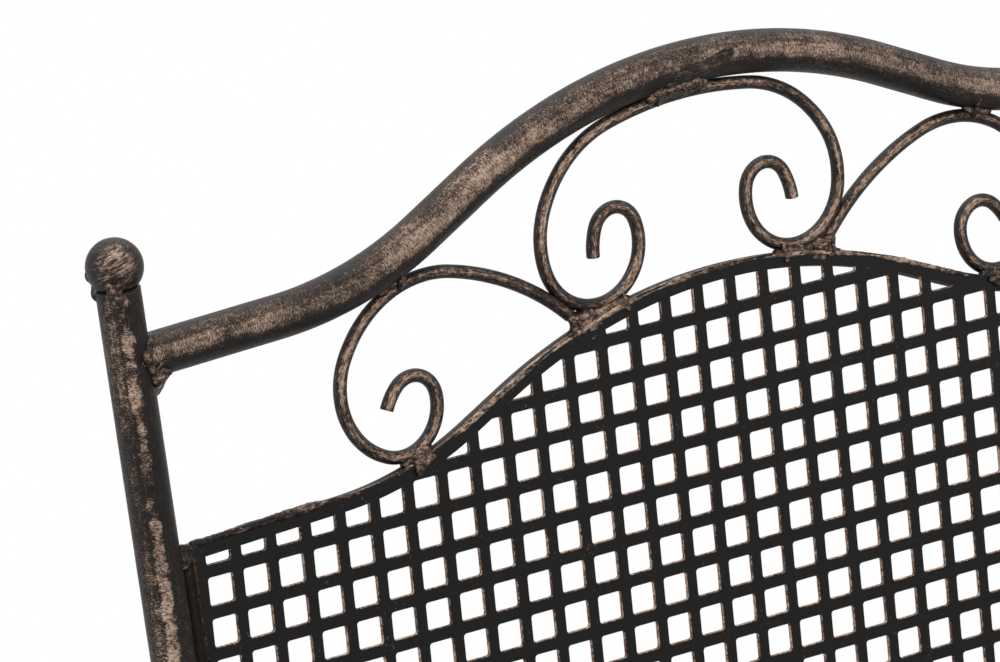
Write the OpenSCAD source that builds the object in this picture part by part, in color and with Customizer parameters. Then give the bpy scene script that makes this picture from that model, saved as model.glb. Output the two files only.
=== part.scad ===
// Garden armchair of welded round tube, with a perforated sheet back and seat, scroll work under
// the top rail and under the arms, and ball finials on the back posts. Millimetres, front towards -Y.

/* [Overall] */
// Height from the floor to the top of the ball finials
overall_h = 925; // [860:5:1000]
// Depth from the front of the seat to the back of the ball finials
overall_d = 580; // [540:5:640]
// Distance between the centres of the two back posts
post_gap = 492; // [440:2:560]
// Height of the seat sheet above the floor
seat_h = 440; // [410:5:460]
// Height of the arms above the floor, to their centre
arm_h = 648; // [620:2:680]

/* [Tubes and rods] */
// Outside diameter of the posts, arms, top rail and seat tubes
tube_d = 16; // [14:0.5:19]
// Wall of those tubes
tube_wall = 1.2; // [1:0.1:2]
// Diameter of the scroll rods
scroll_rod_d = 5; // [4:0.5:6]
// Diameter of the rods behind the edge of the back panel
edge_rod_d = 6; // [5:0.5:8]
// Diameter of the lower back rail
lower_rail_d = 12; // [10:0.5:16]
// Diameter of the side stretchers between the legs
stretcher_d = 12; // [11:0.5:14]
// Diameter of the cross stretcher between those
cross_d = 10; // [8:0.5:10.5]
// Wall of the lower back rail and of the stretchers
stretcher_wall = 1.2; // [1:0.1:2]

/* [Posts] */
// Lean of the back from upright, degrees
back_lean = 12.8; // [8:0.2:18]
// Rake of the rear legs from upright, degrees
leg_rake = 9; // [4:0.5:12]
// Radius of the bend between leg and back
post_bend_r = 80; // [60:5:120]
// Height of that bend above the centre of the seat tube
bend_up = 45; // [35:1:60]
// Diameter of the ball finials
ball_d = 20.5; // [20:0.5:26]
// Distance from the centre of the ball down to the end of the top rail
ball_above_rail = 34; // [30:1:60]

/* [Top rail] */
// Rise of the crest above the ends of the rail
rail_rise = 48; // [44:1:52]
// Steepest slope of the rail, degrees
rail_slope = 25.7; // [24:0.1:27]
// Radius of the crest
rail_crest_r = 215; // [205:5:230]
// Radius of the hollows on both sides of the crest
rail_hollow_r = 150; // [140:5:160]

/* [Centre scroll] */
// Radius of the crown under the rail
crown_r = 158; // [140:2:180]
// Turn of half the crown, degrees
crown_turn = 12; // [8:1:16]
// Radius of the shoulders
shoulder_r = 46.5; // [44:0.5:49]
// Turn of a shoulder, degrees
shoulder_turn = 52; // [49:0.5:55]
// Radius of the flanks
flank_r = 33; // [31:0.5:35]
// Turn of a flank, degrees
flank_turn = 38.5; // [36:0.5:41]
// Radius of the foot of the scroll
foot_r = 22.2; // [20:0.2:24]
// Turn of the foot, degrees
foot_turn = 86.5; // [80:0.5:92]
// Radius of the inner rise
inner_r = 20.7; // [19:0.2:22]
// Turn of the inner rise, degrees
inner_turn = 97; // [92:1:102]
// Radius of the curl
curl_r = 9.5; // [8:0.5:11]
// Turn of the curl, degrees
curl_turn = 139.5; // [130:0.5:150]
// Radius of the tip
tip_r = 27; // [20:1:35]
// Turn of the tip, degrees
tip_turn = 23; // [10:1:30]

/* [Side scrolls] */
// Slope of the rail where the side scroll touches it, degrees
side_touch = 17.9; // [17:0.1:19]
// Radius of the long arm of the side scroll
long_arm_r = 107; // [100:1:114]
// Turn of the long arm, degrees
long_arm_turn = 31; // [29:0.5:33]
// Radius of the shoulder of the side scroll
side_shoulder_r = 44; // [42:0.5:46]
// Heading of the rod where that shoulder starts, degrees from the +X axis
side_shoulder_start = 165; // [162:1:168]
// Turn of that shoulder, degrees
side_shoulder_turn = 75; // [72:1:78]
// Radius of the flank of the side scroll
side_flank_r = 27.4; // [26:0.2:29]
// Turn of that flank, degrees
side_flank_turn = 96.5; // [92:0.5:100]
// Radius of the foot of the side scroll
side_foot_r = 17.1; // [16:0.1:18]
// Turn of that foot, degrees
side_foot_turn = 120; // [115:1:125]
// Radius of the curl of the side scroll
side_curl_r = 9.9; // [9:0.1:11]
// Turn of that curl, degrees
side_curl_turn = 126; // [116:1:136]
// Radius of the tip of the side scroll
side_tip_r = 23; // [18:1:30]
// Turn of that tip, degrees
side_tip_turn = 22; // [10:1:30]

/* [Back panel] */
// Thickness of the perforated sheets
sheet_t = 1.5; // [1:0.1:2.5]
// Radius of the crest of the panel's top rod
panel_crest_r = 225; // [216:1:234]
// Straight between the crest and each hollow of the panel's top rod
panel_straight = 19.87; // [15:0.01:25]
// Radius of the hollows of the panel's top rod
panel_hollow_r = 140; // [132:1:148]
// How far the sheet rises past the centre of its top rod
edge_over = 3.6; // [2.8:0.1:4.4]
// Gap between the sheet's side and the centre of the post
panel_side_gap = 12; // [10.5:0.5:14]
// Height of the lower back rail above the bend of the posts, along the slope
lower_rail_up = 22; // [20:1:60]
// Side of a square hole in the sheets
hole_w = 10.2; // [8:0.1:12]
// Pitch of the holes
hole_pitch = 15; // [14:0.5:20]
// Turn of the hole pattern in the back panel, degrees
pattern_turn = -2.5; // [-4:0.5:4]
// Place of one hole column beside the middle of the back panel
pattern_x = -13.1; // [-20:0.1:20]
// Drop from the crest of the top rod to the middle of the same hole
pattern_drop = 20.7; // [15:0.1:30]
// Plain rim kept at the sides of the back panel
side_rim = 2; // [1:0.5:6]

/* [Arms] */
// Radius of the bend between front leg and arm
arm_bend_r = 62; // [50:1:80]
// Main radius of the arm scrolls
arm_scroll_r = 78; // [70:1:85]
// Turn of that radius past each place where it touches the tube, degrees
arm_scroll_past = 28; // [20:1:35]
// Radius of the second turn of the arm scrolls
arm_scroll_mid_r = 30; // [26:1:32]
// Second turn, degrees
arm_scroll_mid_turn = 130; // [120:1:150]
// Radius of the curl of the arm scrolls
arm_scroll_curl_r = 13; // [10:0.5:14]
// Turn of the curl, degrees
arm_scroll_curl_turn = 170; // [150:5:200]

/* [Seat] */
// Gap between the legs and the seat tube, taken up by the spacers
seat_gap = 4; // [3:0.5:8]
// Radius of the front corners of the seat tube
seat_corner_r = 50; // [40:1:60]
// Straight left between that corner and the bolt in the front leg
bolt_edge = 14; // [12:1:20]
// Distance from the rear leg's centre to the seat's rear tube
rear_tube_ahead = 20; // [17:1:30]
// How far the seat sheet reaches past the centre of its tubes
seat_sheet_over = 3; // [0:0.5:5]
// Plain rim of the seat sheet
seat_rim = 14; // [10:1:25]
// Width of the bars under the seat
seat_bar_w = 20; // [15:1:30]
// Thickness of those bars
seat_bar_t = 3; // [2:0.5:4]
// Distance between the centres of the two bars
seat_bar_gap = 150; // [100:10:220]

/* [Stretchers and feet] */
// Height of the stretchers above the floor
stretcher_h = 150; // [110:5:200]
// Outside diameter of the foot caps
cap_d = 21; // [20:0.5:24]
// Depth of the leg's socket in a foot cap
cap_socket = 16; // [10:1:25]
// Sole of the foot caps under the leg
cap_sole = 4; // [3:0.5:8]
// Clearance of the leg in its cap, on the radius
cap_fit = 0.1; // [0.05:0.05:0.3]

/* [Fasteners] */
// Diameter of the bolts
bolt_d = 6; // [5:1:6]
// Clearance of the bolt holes, on the diameter
bolt_fit = 0.6; // [0.4:0.1:1]
// Diameter of the bolt heads
head_d = 11; // [10:0.5:12]
// Height of the bolt heads
head_h = 3.4; // [3:0.1:4]
// Size of the heads' hexagon sockets, across the flats
socket_af = 4; // [3:0.5:4]
// Depth of those sockets
socket_deep = 1.6; // [1:0.1:2]
// Width of the cap nuts, across the flats
nut_af = 10; // [9:0.5:11]
// Height of the hexagon of the cap nuts
nut_hex_h = 5; // [4:0.5:6]
// Height of the cap nuts with their dome
nut_h = 9; // [8:0.5:11]
// Diameter of the washers and spacers
washer_d = 12; // [11.5:0.5:13]
// Thickness of the saddle washers at their middle
washer_t = 1.5; // [1:0.1:2.5]
// Length of the threaded inserts in the tube ends
insert_l = 14; // [10:1:20]
// Gap between the insert and the wall of its tube
insert_fit = 0.05; // [0.05:0.05:0.2]

/* [Hidden] */
$fn = 48;

tube_r = tube_d / 2;
bore_d = tube_d - 2 * tube_wall;
scroll_rod_r = scroll_rod_d / 2;
edge_rod_r = edge_rod_d / 2;
half_gap = post_gap / 2;
past = 1;
hair = 0.08;
cope_trim = 1;
lap = 0.4;
head_dome_r = 0.75 * head_d;
nut_shoulder = 0.5;

// Seat, bend and feet in the side view, as [y, z]
seat_z = seat_h - sheet_t - tube_r;
bend_z = seat_z + bend_up;
back_len = (overall_h - ball_d / 2 - bend_z) / cos(back_lean);
bend_y = overall_d / 2 - ball_d / 2 - back_len * sin(back_lean);
function leg_y(z) = bend_y + (bend_z - z) * tan(leg_rake);
function back_y(z) = bend_y + (z - bend_z) * tan(back_lean);
front_leg_y = -overall_d / 2 + tube_r + seat_corner_r + bolt_edge;
seat_side_x = half_gap - tube_d - seat_gap;
seat_front_y = -overall_d / 2 + tube_r;
seat_bolt_y = leg_y(seat_z);
seat_rear_y = seat_bolt_y - rear_tube_ahead;
seat_tube_end_y = seat_bolt_y + bolt_edge;

// The ball rests on the inner rim of the post's mouth
ball_seat = sqrt(pow(ball_d / 2, 2) - pow(bore_d / 2, 2));
mouth_v = back_len - ball_seat;

// Walk along a bent rod: a pose is [x, y, heading], a step is [radius, turn] or [length, 0]
function advance(p, s) = s[1] == 0
    ? [p[0] + s[0] * cos(p[2]), p[1] + s[0] * sin(p[2]), p[2]]
    : let (c = centre_of(p, s), side = sign(s[1]), h = p[2] + s[1])
        [c[0] + side * s[0] * sin(h), c[1] - side * s[0] * cos(h), h];
function centre_of(p, s) = let (side = sign(s[1]))
    [p[0] - side * s[0] * sin(p[2]), p[1] + side * s[0] * cos(p[2])];
function walk(p, steps, n) = n == 0 ? p : advance(walk(p, steps, n - 1), steps[n - 1]);
function mirrored(steps) = [for (s = steps) [s[0], -s[1]]];
function backwards(steps) = [for (i = [len(steps) - 1:-1:0]) steps[i]];
function trail(p, steps, cuts) = [
    for (i = [0:len(steps) - 1])
        let (q = walk(p, steps, i), s = steps[i])
            for (k = [0:cuts - 1])
                let (part = s[1] == 0 ? [s[0] * k / cuts, 0] : [s[0], s[1] * k / cuts])
                    let (r = k == 0 ? q : advance(q, part)) [r[0], r[1]]
];

// A crested curve from one post to the other, moved square to itself by off
function crest_straight(rise, slope, crest_r, hollow_r) =
    (rise - (crest_r + hollow_r) * (1 - cos(slope))) / sin(slope);
function crest_reach(straight, slope, crest_r, hollow_r) =
    (crest_r + hollow_r) * sin(slope) + straight * cos(slope);
function crest_steps(straight, slope, crest_r, hollow_r, off) = [
    [half_gap - crest_reach(straight, slope, crest_r, hollow_r), 0],
    [hollow_r - off, slope],
    [straight, 0],
    [crest_r + off, -2 * slope],
    [straight, 0],
    [hollow_r - off, slope],
    [half_gap - crest_reach(straight, slope, crest_r, hollow_r), 0]
];

// Top rail, in the plane of the back
rail_v = back_len - ball_above_rail;
rail_straight = crest_straight(rail_rise, rail_slope, rail_crest_r, rail_hollow_r);
rail_reach = crest_reach(rail_straight, rail_slope, rail_crest_r, rail_hollow_r);
rail_steps = crest_steps(rail_straight, rail_slope, rail_crest_r, rail_hollow_r, 0);

// Centre scroll: its left half, from the middle of its crown to its tip
centre_start = [0, rail_v + rail_rise - tube_r - scroll_rod_r, 180];
centre_steps = [
    [crown_r, crown_turn],
    [shoulder_r, shoulder_turn],
    [flank_r, flank_turn],
    [foot_r, foot_turn],
    [inner_r, inner_turn],
    [curl_r, curl_turn],
    [tip_r, tip_turn]
];
centre_tip = walk(centre_start, centre_steps, len(centre_steps));
centre_outer_steps = [for (i = [1:len(centre_steps) - 1]) centre_steps[i]];
centre_all_steps = concat(
    mirrored(backwards(centre_outer_steps)),
    [[crown_r, -2 * crown_turn]],
    mirrored(centre_outer_steps)
);
centre_foot = centre_of(walk(centre_start, centre_steps, 3), centre_steps[3]);
centre_inner = centre_of(walk(centre_start, centre_steps, 4), centre_steps[4]);

// Left side scroll: its shoulder touches the hollow of the rail
touch_reach = rail_hollow_r + tube_r + scroll_rod_r + side_shoulder_r;
shoulder_centre = [
    -rail_reach + touch_reach * sin(side_touch),
    rail_v + rail_hollow_r - touch_reach * cos(side_touch)
];
arm_fold = long_arm_r - side_shoulder_r;
side_start_heading = side_shoulder_start - long_arm_turn;
side_start = [
    shoulder_centre[0] - arm_fold * sin(side_shoulder_start) + long_arm_r * sin(side_start_heading),
    shoulder_centre[1] + arm_fold * cos(side_shoulder_start) - long_arm_r * cos(side_start_heading),
    side_start_heading
];
side_steps = [
    [long_arm_r, long_arm_turn],
    [side_shoulder_r, side_shoulder_turn],
    [side_flank_r, side_flank_turn],
    [side_foot_r, side_foot_turn],
    [side_curl_r, side_curl_turn],
    [side_tip_r, side_tip_turn]
];
side_foot = centre_of(walk(side_start, side_steps, 3), side_steps[3]);

// Top rod of the panel: its crest touches the centre scroll, its hollows the side scrolls
rod_touch = scroll_rod_r + edge_rod_r;
function crest_under(c, r) =
    c[1] + panel_crest_r - sqrt(pow(panel_crest_r + r + rod_touch, 2) - pow(c[0], 2));
panel_peak = min(crest_under(centre_foot, foot_r), crest_under(centre_inner, inner_r));
crest_to_foot = side_foot - [0, panel_peak - panel_crest_r];
foot_away = norm(crest_to_foot);
hollow_away = norm([panel_crest_r + panel_hollow_r, panel_straight]);
hollow_touch = panel_hollow_r - side_foot_r - rod_touch;
hollow_swing = acos(
    (pow(hollow_away, 2) + pow(foot_away, 2) - pow(hollow_touch, 2)) / (2 * hollow_away * foot_away)
);
panel_slope = atan2(-crest_to_foot[0], crest_to_foot[1]) - hollow_swing
    - atan2(panel_straight, panel_crest_r + panel_hollow_r);
panel_rod_steps = crest_steps(panel_straight, panel_slope, panel_crest_r, panel_hollow_r, 0);
panel_rise = (panel_crest_r + panel_hollow_r) * (1 - cos(panel_slope))
    + panel_straight * sin(panel_slope);
panel_side_v = panel_peak - panel_rise;
lower_rail_n = edge_rod_r - lower_rail_d / 2;

// Places of the bolts, as [x, y, z] on the left side
seat_bolt_places = [
    [-half_gap, front_leg_y, seat_z],
    [-half_gap, seat_bolt_y, seat_z]
];
arm_end_y = back_y(arm_h);
stretcher_end_y = leg_y(stretcher_h);
hole_d = bolt_d + bolt_fit;
saddle_span = 2 * tube_r;

black_brown = [0.16, 0.13, 0.12];
bronze_brown = [0.3, 0.22, 0.16];
cap_black = [0.08, 0.08, 0.08];
steel_dark = [0.28, 0.26, 0.25];

// Planes to draw in
module on_back() translate([0, bend_y, bend_z]) rotate([90 - back_lean, 0, 0]) children();
module in_side_plane(x) translate([x, 0, 0]) rotate([90, 0, 90]) children();
module both_sides() {
    children();
    mirror([1, 0, 0]) children();
}

// One stretch of a bent rod, from the origin along +X, drawn longer by lap at the ends asked for
module stretch(s, d, before, after) {
    if (s[1] == 0) translate([-before, 0, 0]) rotate([0, 90, 0])
        cylinder(h = s[0] + before + after, d = d);
    if (s[1] != 0) {
        first = before / s[0] / PI * 180;
        turn = abs(s[1]) + first + after / s[0] / PI * 180;
        side = sign(s[1]);
        translate([0, side * s[0], 0]) rotate(side > 0 ? -90 - first : 90 + first - turn)
            rotate_extrude(angle = turn) translate([s[0], 0]) circle(d = d);
    }
}
// Every second stretch is thinner by a hair and reaches into its neighbours, so that they join
module bent_rod(p, steps, d) {
    last = len(steps) - 1;
    for (i = [0:last]) {
        q = walk(p, steps, i);
        thin = i % 2 == 1;
        translate([q[0], q[1], 0]) rotate(q[2])
            stretch(steps[i], thin ? d - hair : d, thin ? lap : 0, thin && i < last ? lap : 0);
    }
}

// Upright cylinder along Y or X through a point
module along_y(p, d, from, to) translate([p[0], p[1] + from, p[2]]) rotate([-90, 0, 0])
    cylinder(h = to - from, d = d);
module along_x(p, d, from, to) translate([p[0] + from, p[1], p[2]]) rotate([0, 90, 0])
    cylinder(h = to - from, d = d);

// Posts, drawn on the left
leg_tangent = post_bend_r * tan((leg_rake + back_lean) / 2);
leg_len = (bend_z - cap_sole) / cos(leg_rake);
post_foot = [bend_y + leg_len * sin(leg_rake), bend_z - leg_len * cos(leg_rake), 90 + leg_rake];
module post_run(d, more) in_side_plane(-half_gap) bent_rod(
    advance(post_foot, [-more, 0]),
    [
        [leg_len - leg_tangent + more, 0],
        [post_bend_r, -leg_rake - back_lean],
        [mouth_v - leg_tangent + more, 0]
    ],
    d
);
module post() color(black_brown) difference() {
    post_run(tube_d, 0);
    post_run(bore_d, past);
    along_x(seat_bolt_places[1], hole_d, -tube_d, tube_d);
    along_y([-half_gap, arm_end_y, arm_h], hole_d, -tube_d, tube_d);
    along_y([-half_gap, stretcher_end_y, stretcher_h], hole_d, -tube_d, tube_d);
}
module left_post() post();
module right_post() mirror([1, 0, 0]) post();
module ball() color(black_brown) on_back() translate([-half_gap, back_len, 0]) sphere(d = ball_d);
module left_ball() ball();
module right_ball() mirror([1, 0, 0]) ball();
module post_solid() both_sides() post_run(tube_d, 0);

// Back
module top_rail() color(black_brown) difference() {
    on_back() bent_rod([-half_gap, rail_v, 0], rail_steps, tube_d);
    on_back() bent_rod([-half_gap, rail_v, 0], rail_steps, bore_d);
    post_solid();
}
module lower_back_rail() color(black_brown) difference() {
    lower_rail_run(lower_rail_d);
    lower_rail_run(lower_rail_d - 2 * stretcher_wall);
    post_solid();
}
module lower_rail_run(d) on_back() translate([-half_gap, lower_rail_up, lower_rail_n])
    rotate([0, 90, 0]) cylinder(h = post_gap, d = d);
module top_rod_run() on_back() bent_rod([-half_gap, panel_side_v, 0], panel_rod_steps, edge_rod_d);
module panel_top_rod() color(black_brown) difference() {
    top_rod_run();
    post_solid();
}
module side_rod() color(black_brown) difference() {
    on_back() translate([-half_gap + tube_r + edge_rod_r, lower_rail_up, 0]) rotate([-90, 0, 0])
        cylinder(h = panel_side_v - lower_rail_up, d = edge_rod_d);
    top_rod_run();
    lower_rail_run(lower_rail_d);
}
module left_panel_rod() side_rod();
module right_panel_rod() mirror([1, 0, 0]) side_rod();

panel_half_w = half_gap - panel_side_gap;
edge_cuts = 8;
function panel_edge(off, half_w) = let (
    steps = crest_steps(panel_straight, panel_slope, panel_crest_r, panel_hollow_r, off),
    first = [-half_gap, panel_side_v + off, 0]
) [for (q = trail(first, steps, edge_cuts)) if (abs(q[0]) < half_w) q];
module panel_outline(off, half_w, low) polygon(concat(
    [[-half_w, low], [half_w, low], [half_w, panel_side_v + off]],
    backwards(panel_edge(off, half_w)),
    [[-half_w, panel_side_v + off]]
));
panel_rows = ceil((panel_peak - lower_rail_up) / hole_pitch) + 1;
panel_columns = ceil(half_gap / hole_pitch) + 1;
module back_holes() translate([pattern_x, panel_peak - pattern_drop]) rotate(pattern_turn)
    for (i = [-panel_columns:panel_columns], j = [-panel_rows:2])
        translate([i * hole_pitch, j * hole_pitch]) square(hole_w, center = true);
module back_panel() color(black_brown) on_back() translate([0, 0, edge_rod_r])
    linear_extrude(sheet_t) difference() {
        panel_outline(edge_over, panel_half_w, lower_rail_up);
        intersection() {
            back_holes();
            panel_outline(-edge_rod_r, panel_half_w - side_rim, lower_rail_up + lower_rail_d / 2);
        }
    }

// Scrolls of the back
module centre_scroll_run() on_back() bent_rod(
    [centre_tip[0], centre_tip[1], centre_tip[2] + 180],
    centre_all_steps,
    scroll_rod_d
);
module centre_scroll() color(bronze_brown) centre_scroll_run();
module side_scroll() color(bronze_brown) difference() {
    on_back() bent_rod(side_start, side_steps, scroll_rod_d);
    centre_scroll_run();
}
module left_scroll() side_scroll();
module right_scroll() mirror([1, 0, 0]) side_scroll();

// Arm and front leg, one tube on each side
arm_foot_z = cap_sole;
module arm_run(d, more) in_side_plane(-half_gap) bent_rod(
    [front_leg_y, arm_foot_z - more, 90],
    [
        [arm_h - arm_foot_z - arm_bend_r + more, 0],
        [arm_bend_r, -90],
        [arm_end_y - cope_trim - front_leg_y - arm_bend_r, 0]
    ],
    d
);
module arm() color(black_brown) difference() {
    arm_run(tube_d, 0);
    arm_run(bore_d, past);
    post_run(tube_d, 0);
    along_x(seat_bolt_places[0], hole_d, -tube_d, tube_d);
}
module left_arm() arm();
module right_arm() mirror([1, 0, 0]) arm();

// Arm scroll: a C that touches the leg and the arm, with a curl at each end
arm_scroll_centre = [
    front_leg_y + tube_r + scroll_rod_r + arm_scroll_r,
    arm_h - tube_r - scroll_rod_r - arm_scroll_r
];
arm_scroll_end_steps = [
    [arm_scroll_mid_r, -arm_scroll_mid_turn],
    [arm_scroll_curl_r, -arm_scroll_curl_turn]
];
arm_scroll_main = [[arm_scroll_r, -90 - 2 * arm_scroll_past]];
arm_scroll_steps = concat(backwards(arm_scroll_end_steps), arm_scroll_main, arm_scroll_end_steps);
arm_scroll_main_start = [
    arm_scroll_centre[0] - arm_scroll_r * cos(arm_scroll_past),
    arm_scroll_centre[1] - arm_scroll_r * sin(arm_scroll_past),
    90 + arm_scroll_past
];
arm_scroll_back = [arm_scroll_main_start[0], arm_scroll_main_start[1], arm_scroll_main_start[2] + 180];
arm_scroll_tip = walk(arm_scroll_back, mirrored(arm_scroll_end_steps), 2);
module arm_scroll() color(bronze_brown) in_side_plane(-half_gap) bent_rod(
    [arm_scroll_tip[0], arm_scroll_tip[1], arm_scroll_tip[2] + 180],
    arm_scroll_steps,
    scroll_rod_d
);
module left_arm_scroll() arm_scroll();
module right_arm_scroll() mirror([1, 0, 0]) arm_scroll();

// Stretchers
stretcher_bore_d = stretcher_d - 2 * stretcher_wall;
stretcher_mid_y = (front_leg_y + stretcher_end_y) / 2;
module stretcher_run(d) along_y(
    [-half_gap, front_leg_y, stretcher_h], d, 0, stretcher_end_y - front_leg_y
);
module stretcher() color(black_brown) difference() {
    stretcher_run(stretcher_d);
    stretcher_run(stretcher_bore_d);
    post_run(tube_d, 0);
    arm_run(tube_d, 0);
}
module left_stretcher() stretcher();
module right_stretcher() mirror([1, 0, 0]) stretcher();
module cross_run(d) along_x([0, stretcher_mid_y, stretcher_h], d, -half_gap, half_gap);
module cross_stretcher() color(black_brown) difference() {
    cross_run(cross_d);
    cross_run(cross_d - 2 * stretcher_wall);
    both_sides() stretcher_run(stretcher_d);
}

// Seat
seat_side_len = seat_tube_end_y - seat_front_y - seat_corner_r;
seat_front_len = 2 * (seat_side_x - seat_corner_r);
module seat_run(d, more) translate([0, 0, seat_z]) bent_rod(
    [-seat_side_x, seat_tube_end_y + more, -90],
    [
        [seat_side_len + more, 0],
        [seat_corner_r, 90],
        [seat_front_len, 0],
        [seat_corner_r, 90],
        [seat_side_len + more, 0]
    ],
    d
);
module seat_tube() color(black_brown) difference() {
    seat_run(tube_d, 0);
    seat_run(bore_d, past);
    both_sides() for (p = seat_bolt_places)
        along_x([-seat_side_x, p[1], p[2]], hole_d, -tube_d, tube_d);
}
module rear_tube_run(d) along_x([0, seat_rear_y, seat_z], d, -seat_side_x, seat_side_x);
module seat_rear_tube() color(black_brown) difference() {
    rear_tube_run(tube_d);
    rear_tube_run(bore_d);
    seat_run(tube_d, 0);
}
module seat_outline(over) {
    w = seat_side_x + over;
    r = seat_corner_r + over;
    front = seat_front_y - over;
    translate([-w, front + r]) square([2 * w, seat_rear_y + over - front - r]);
    translate([-w + r, front]) square([2 * (w - r), r + past]);
    for (x = [-1, 1]) translate([x * (w - r), front + r]) circle(r = r);
}
seat_columns = floor((seat_side_x - seat_rim - hole_w / 2) / hole_pitch);
seat_hole_len = seat_rear_y - seat_front_y - 2 * seat_rim - hole_w;
seat_rows = floor(seat_hole_len / hole_pitch);
seat_first_y = (seat_rear_y + seat_front_y - seat_rows * hole_pitch) / 2;
corner_y = seat_front_y + seat_corner_r;
corner_x = seat_side_x - seat_corner_r;
function clear_of_corner(x, y) = y > corner_y || abs(x) < corner_x
    || norm([abs(x) - corner_x, corner_y - y]) < seat_corner_r - seat_rim - hole_w / 2;
module seat_holes() for (i = [-seat_columns:seat_columns], j = [0:seat_rows]) {
    x = i * hole_pitch;
    y = seat_first_y + j * hole_pitch;
    if (clear_of_corner(x, y)) translate([x, y]) square(hole_w, center = true);
}
module seat_panel() color(black_brown) translate([0, 0, seat_h - sheet_t]) linear_extrude(sheet_t)
    difference() {
        seat_outline(seat_sheet_over);
        seat_holes();
    }
module seat_bar() color(black_brown) difference() {
    translate([-seat_bar_gap / 2 - seat_bar_w / 2, seat_front_y, seat_h - sheet_t - seat_bar_t])
        cube([seat_bar_w, seat_rear_y - seat_front_y, seat_bar_t]);
    seat_run(tube_d, 0);
    rear_tube_run(tube_d);
}
module left_seat_bar() seat_bar();
module right_seat_bar() mirror([1, 0, 0]) seat_bar();

// Foot caps: a socket round the leg and a flat sole on the floor
module cap_on(p, rake) color(cap_black) difference() {
    translate([p[0], p[1], p[2]]) rotate([rake, 0, 0]) translate([0, 0, -cap_d])
        cylinder(h = cap_d + cap_socket, d = cap_d);
    translate([p[0], p[1], p[2]]) rotate([rake, 0, 0])
        cylinder(h = cap_socket + past, d = tube_d + 2 * cap_fit);
    translate([p[0] - cap_d, p[1] - 2 * cap_d, -4 * cap_d]) cube([2 * cap_d, 4 * cap_d, 4 * cap_d]);
}
module front_cap() cap_on([-half_gap, front_leg_y, arm_foot_z], 0);
module rear_cap() cap_on([-half_gap, post_foot[0], post_foot[1]], leg_rake);
module front_left_cap() front_cap();
module front_right_cap() mirror([1, 0, 0]) front_cap();
module rear_left_cap() rear_cap();
module rear_right_cap() mirror([1, 0, 0]) rear_cap();

// Fasteners, each drawn with its head at the origin and its shank along -Z
module bolt(l) color(steel_dark) difference() {
    union() {
        translate([0, 0, -l]) cylinder(h = l, d = bolt_d);
        intersection() {
            cylinder(h = head_h, d = head_d);
            translate([0, 0, head_h - head_dome_r]) sphere(r = head_dome_r);
        }
    }
    translate([0, 0, head_h - socket_deep]) cylinder(h = socket_deep + past, d = socket_af / cos(30), $fn = 6);
}
module cap_nut() color(steel_dark) difference() {
    union() {
        cylinder(h = nut_hex_h, d = nut_af / cos(30), $fn = 6);
        translate([0, 0, nut_hex_h]) intersection() {
            cylinder(h = nut_h - nut_hex_h, d = nut_af - 2 * nut_shoulder);
            translate([0, 0, -nut_shoulder]) sphere(r = nut_h - nut_hex_h + nut_shoulder);
        }
    }
    translate([0, 0, -past]) cylinder(h = nut_hex_h + past, d = bolt_d);
}
module ring(h) difference() {
    cylinder(h = h, d = washer_d);
    translate([0, 0, -past]) cylinder(h = h + 2 * past, d = hole_d);
}

// Seat joints: bolt from outside through leg, spacer and seat tube, cap nut inside
head_x = half_gap + tube_r + washer_t;
nut_x = seat_side_x - tube_r - washer_t;
module seat_bolt_set() for (p = seat_bolt_places)
    translate([-head_x, p[1], p[2]]) rotate([0, -90, 0]) bolt(head_x - nut_x + nut_hex_h - 1);
module seat_bolts() both_sides() seat_bolt_set();
module seat_nuts() both_sides() for (p = seat_bolt_places)
    translate([-nut_x, p[1], p[2]]) rotate([0, 90, 0]) cap_nut();
module seat_spacers() color(cap_black) both_sides() difference() {
    for (p = seat_bolt_places) translate([-half_gap, p[1], p[2]]) rotate([0, 90, 0])
        ring(half_gap - seat_side_x);
    post_run(tube_d, 0);
    arm_run(tube_d, 0);
    seat_run(tube_d, 0);
    seat_bolt_set();
}

// Saddle washers under the heads and nuts
module washer_set() difference() {
    union() {
        for (p = seat_bolt_places) {
            translate([-head_x, p[1], p[2]]) rotate([0, 90, 0]) ring(saddle_span / 2 + washer_t);
            translate([-nut_x, p[1], p[2]]) rotate([0, -90, 0]) ring(saddle_span / 2 + washer_t);
        }
        for (p = rear_bolt_places) translate([p[0], p[1] + rear_head(p[3]), p[2]])
            rotate([90, 0, 0]) ring(saddle_span / 2);
    }
    post_run(tube_d, 0);
    arm_run(tube_d, 0);
    seat_run(tube_d, 0);
}
module saddle_washers() color(steel_dark) both_sides() washer_set();

// Bolts from behind the posts into the ends of the arms and stretchers, as [x, y, z, tilt]
rear_bolt_places = [
    [-half_gap, arm_end_y, arm_h, back_lean],
    [-half_gap, stretcher_end_y, stretcher_h, leg_rake]
];
function rear_head(tilt) = tube_r / cos(tilt) + washer_d / 2 * tan(tilt) + washer_t;
function front_face(tilt) = tube_r / cos(tilt);
module rear_bolt(p) both_sides() translate([p[0], p[1] + rear_head(p[3]), p[2]]) rotate([-90, 0, 0])
    bolt(rear_head(p[3]) + front_face(p[3]) + insert_l);
module insert(p, d) color(steel_dark) both_sides() difference() {
    along_y([p[0], p[1], p[2]], d - 2 * insert_fit, -front_face(p[3]) - insert_l, 0);
    along_y([p[0], p[1], p[2]], bolt_d, -front_face(p[3]) - insert_l - past, past);
    post_run(tube_d, 0);
}
module arm_bolts() rear_bolt(rear_bolt_places[0]);
module stretcher_bolts() rear_bolt(rear_bolt_places[1]);
module arm_inserts() insert(rear_bolt_places[0], bore_d);
module stretcher_inserts() insert(rear_bolt_places[1], stretcher_bore_d);

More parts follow.
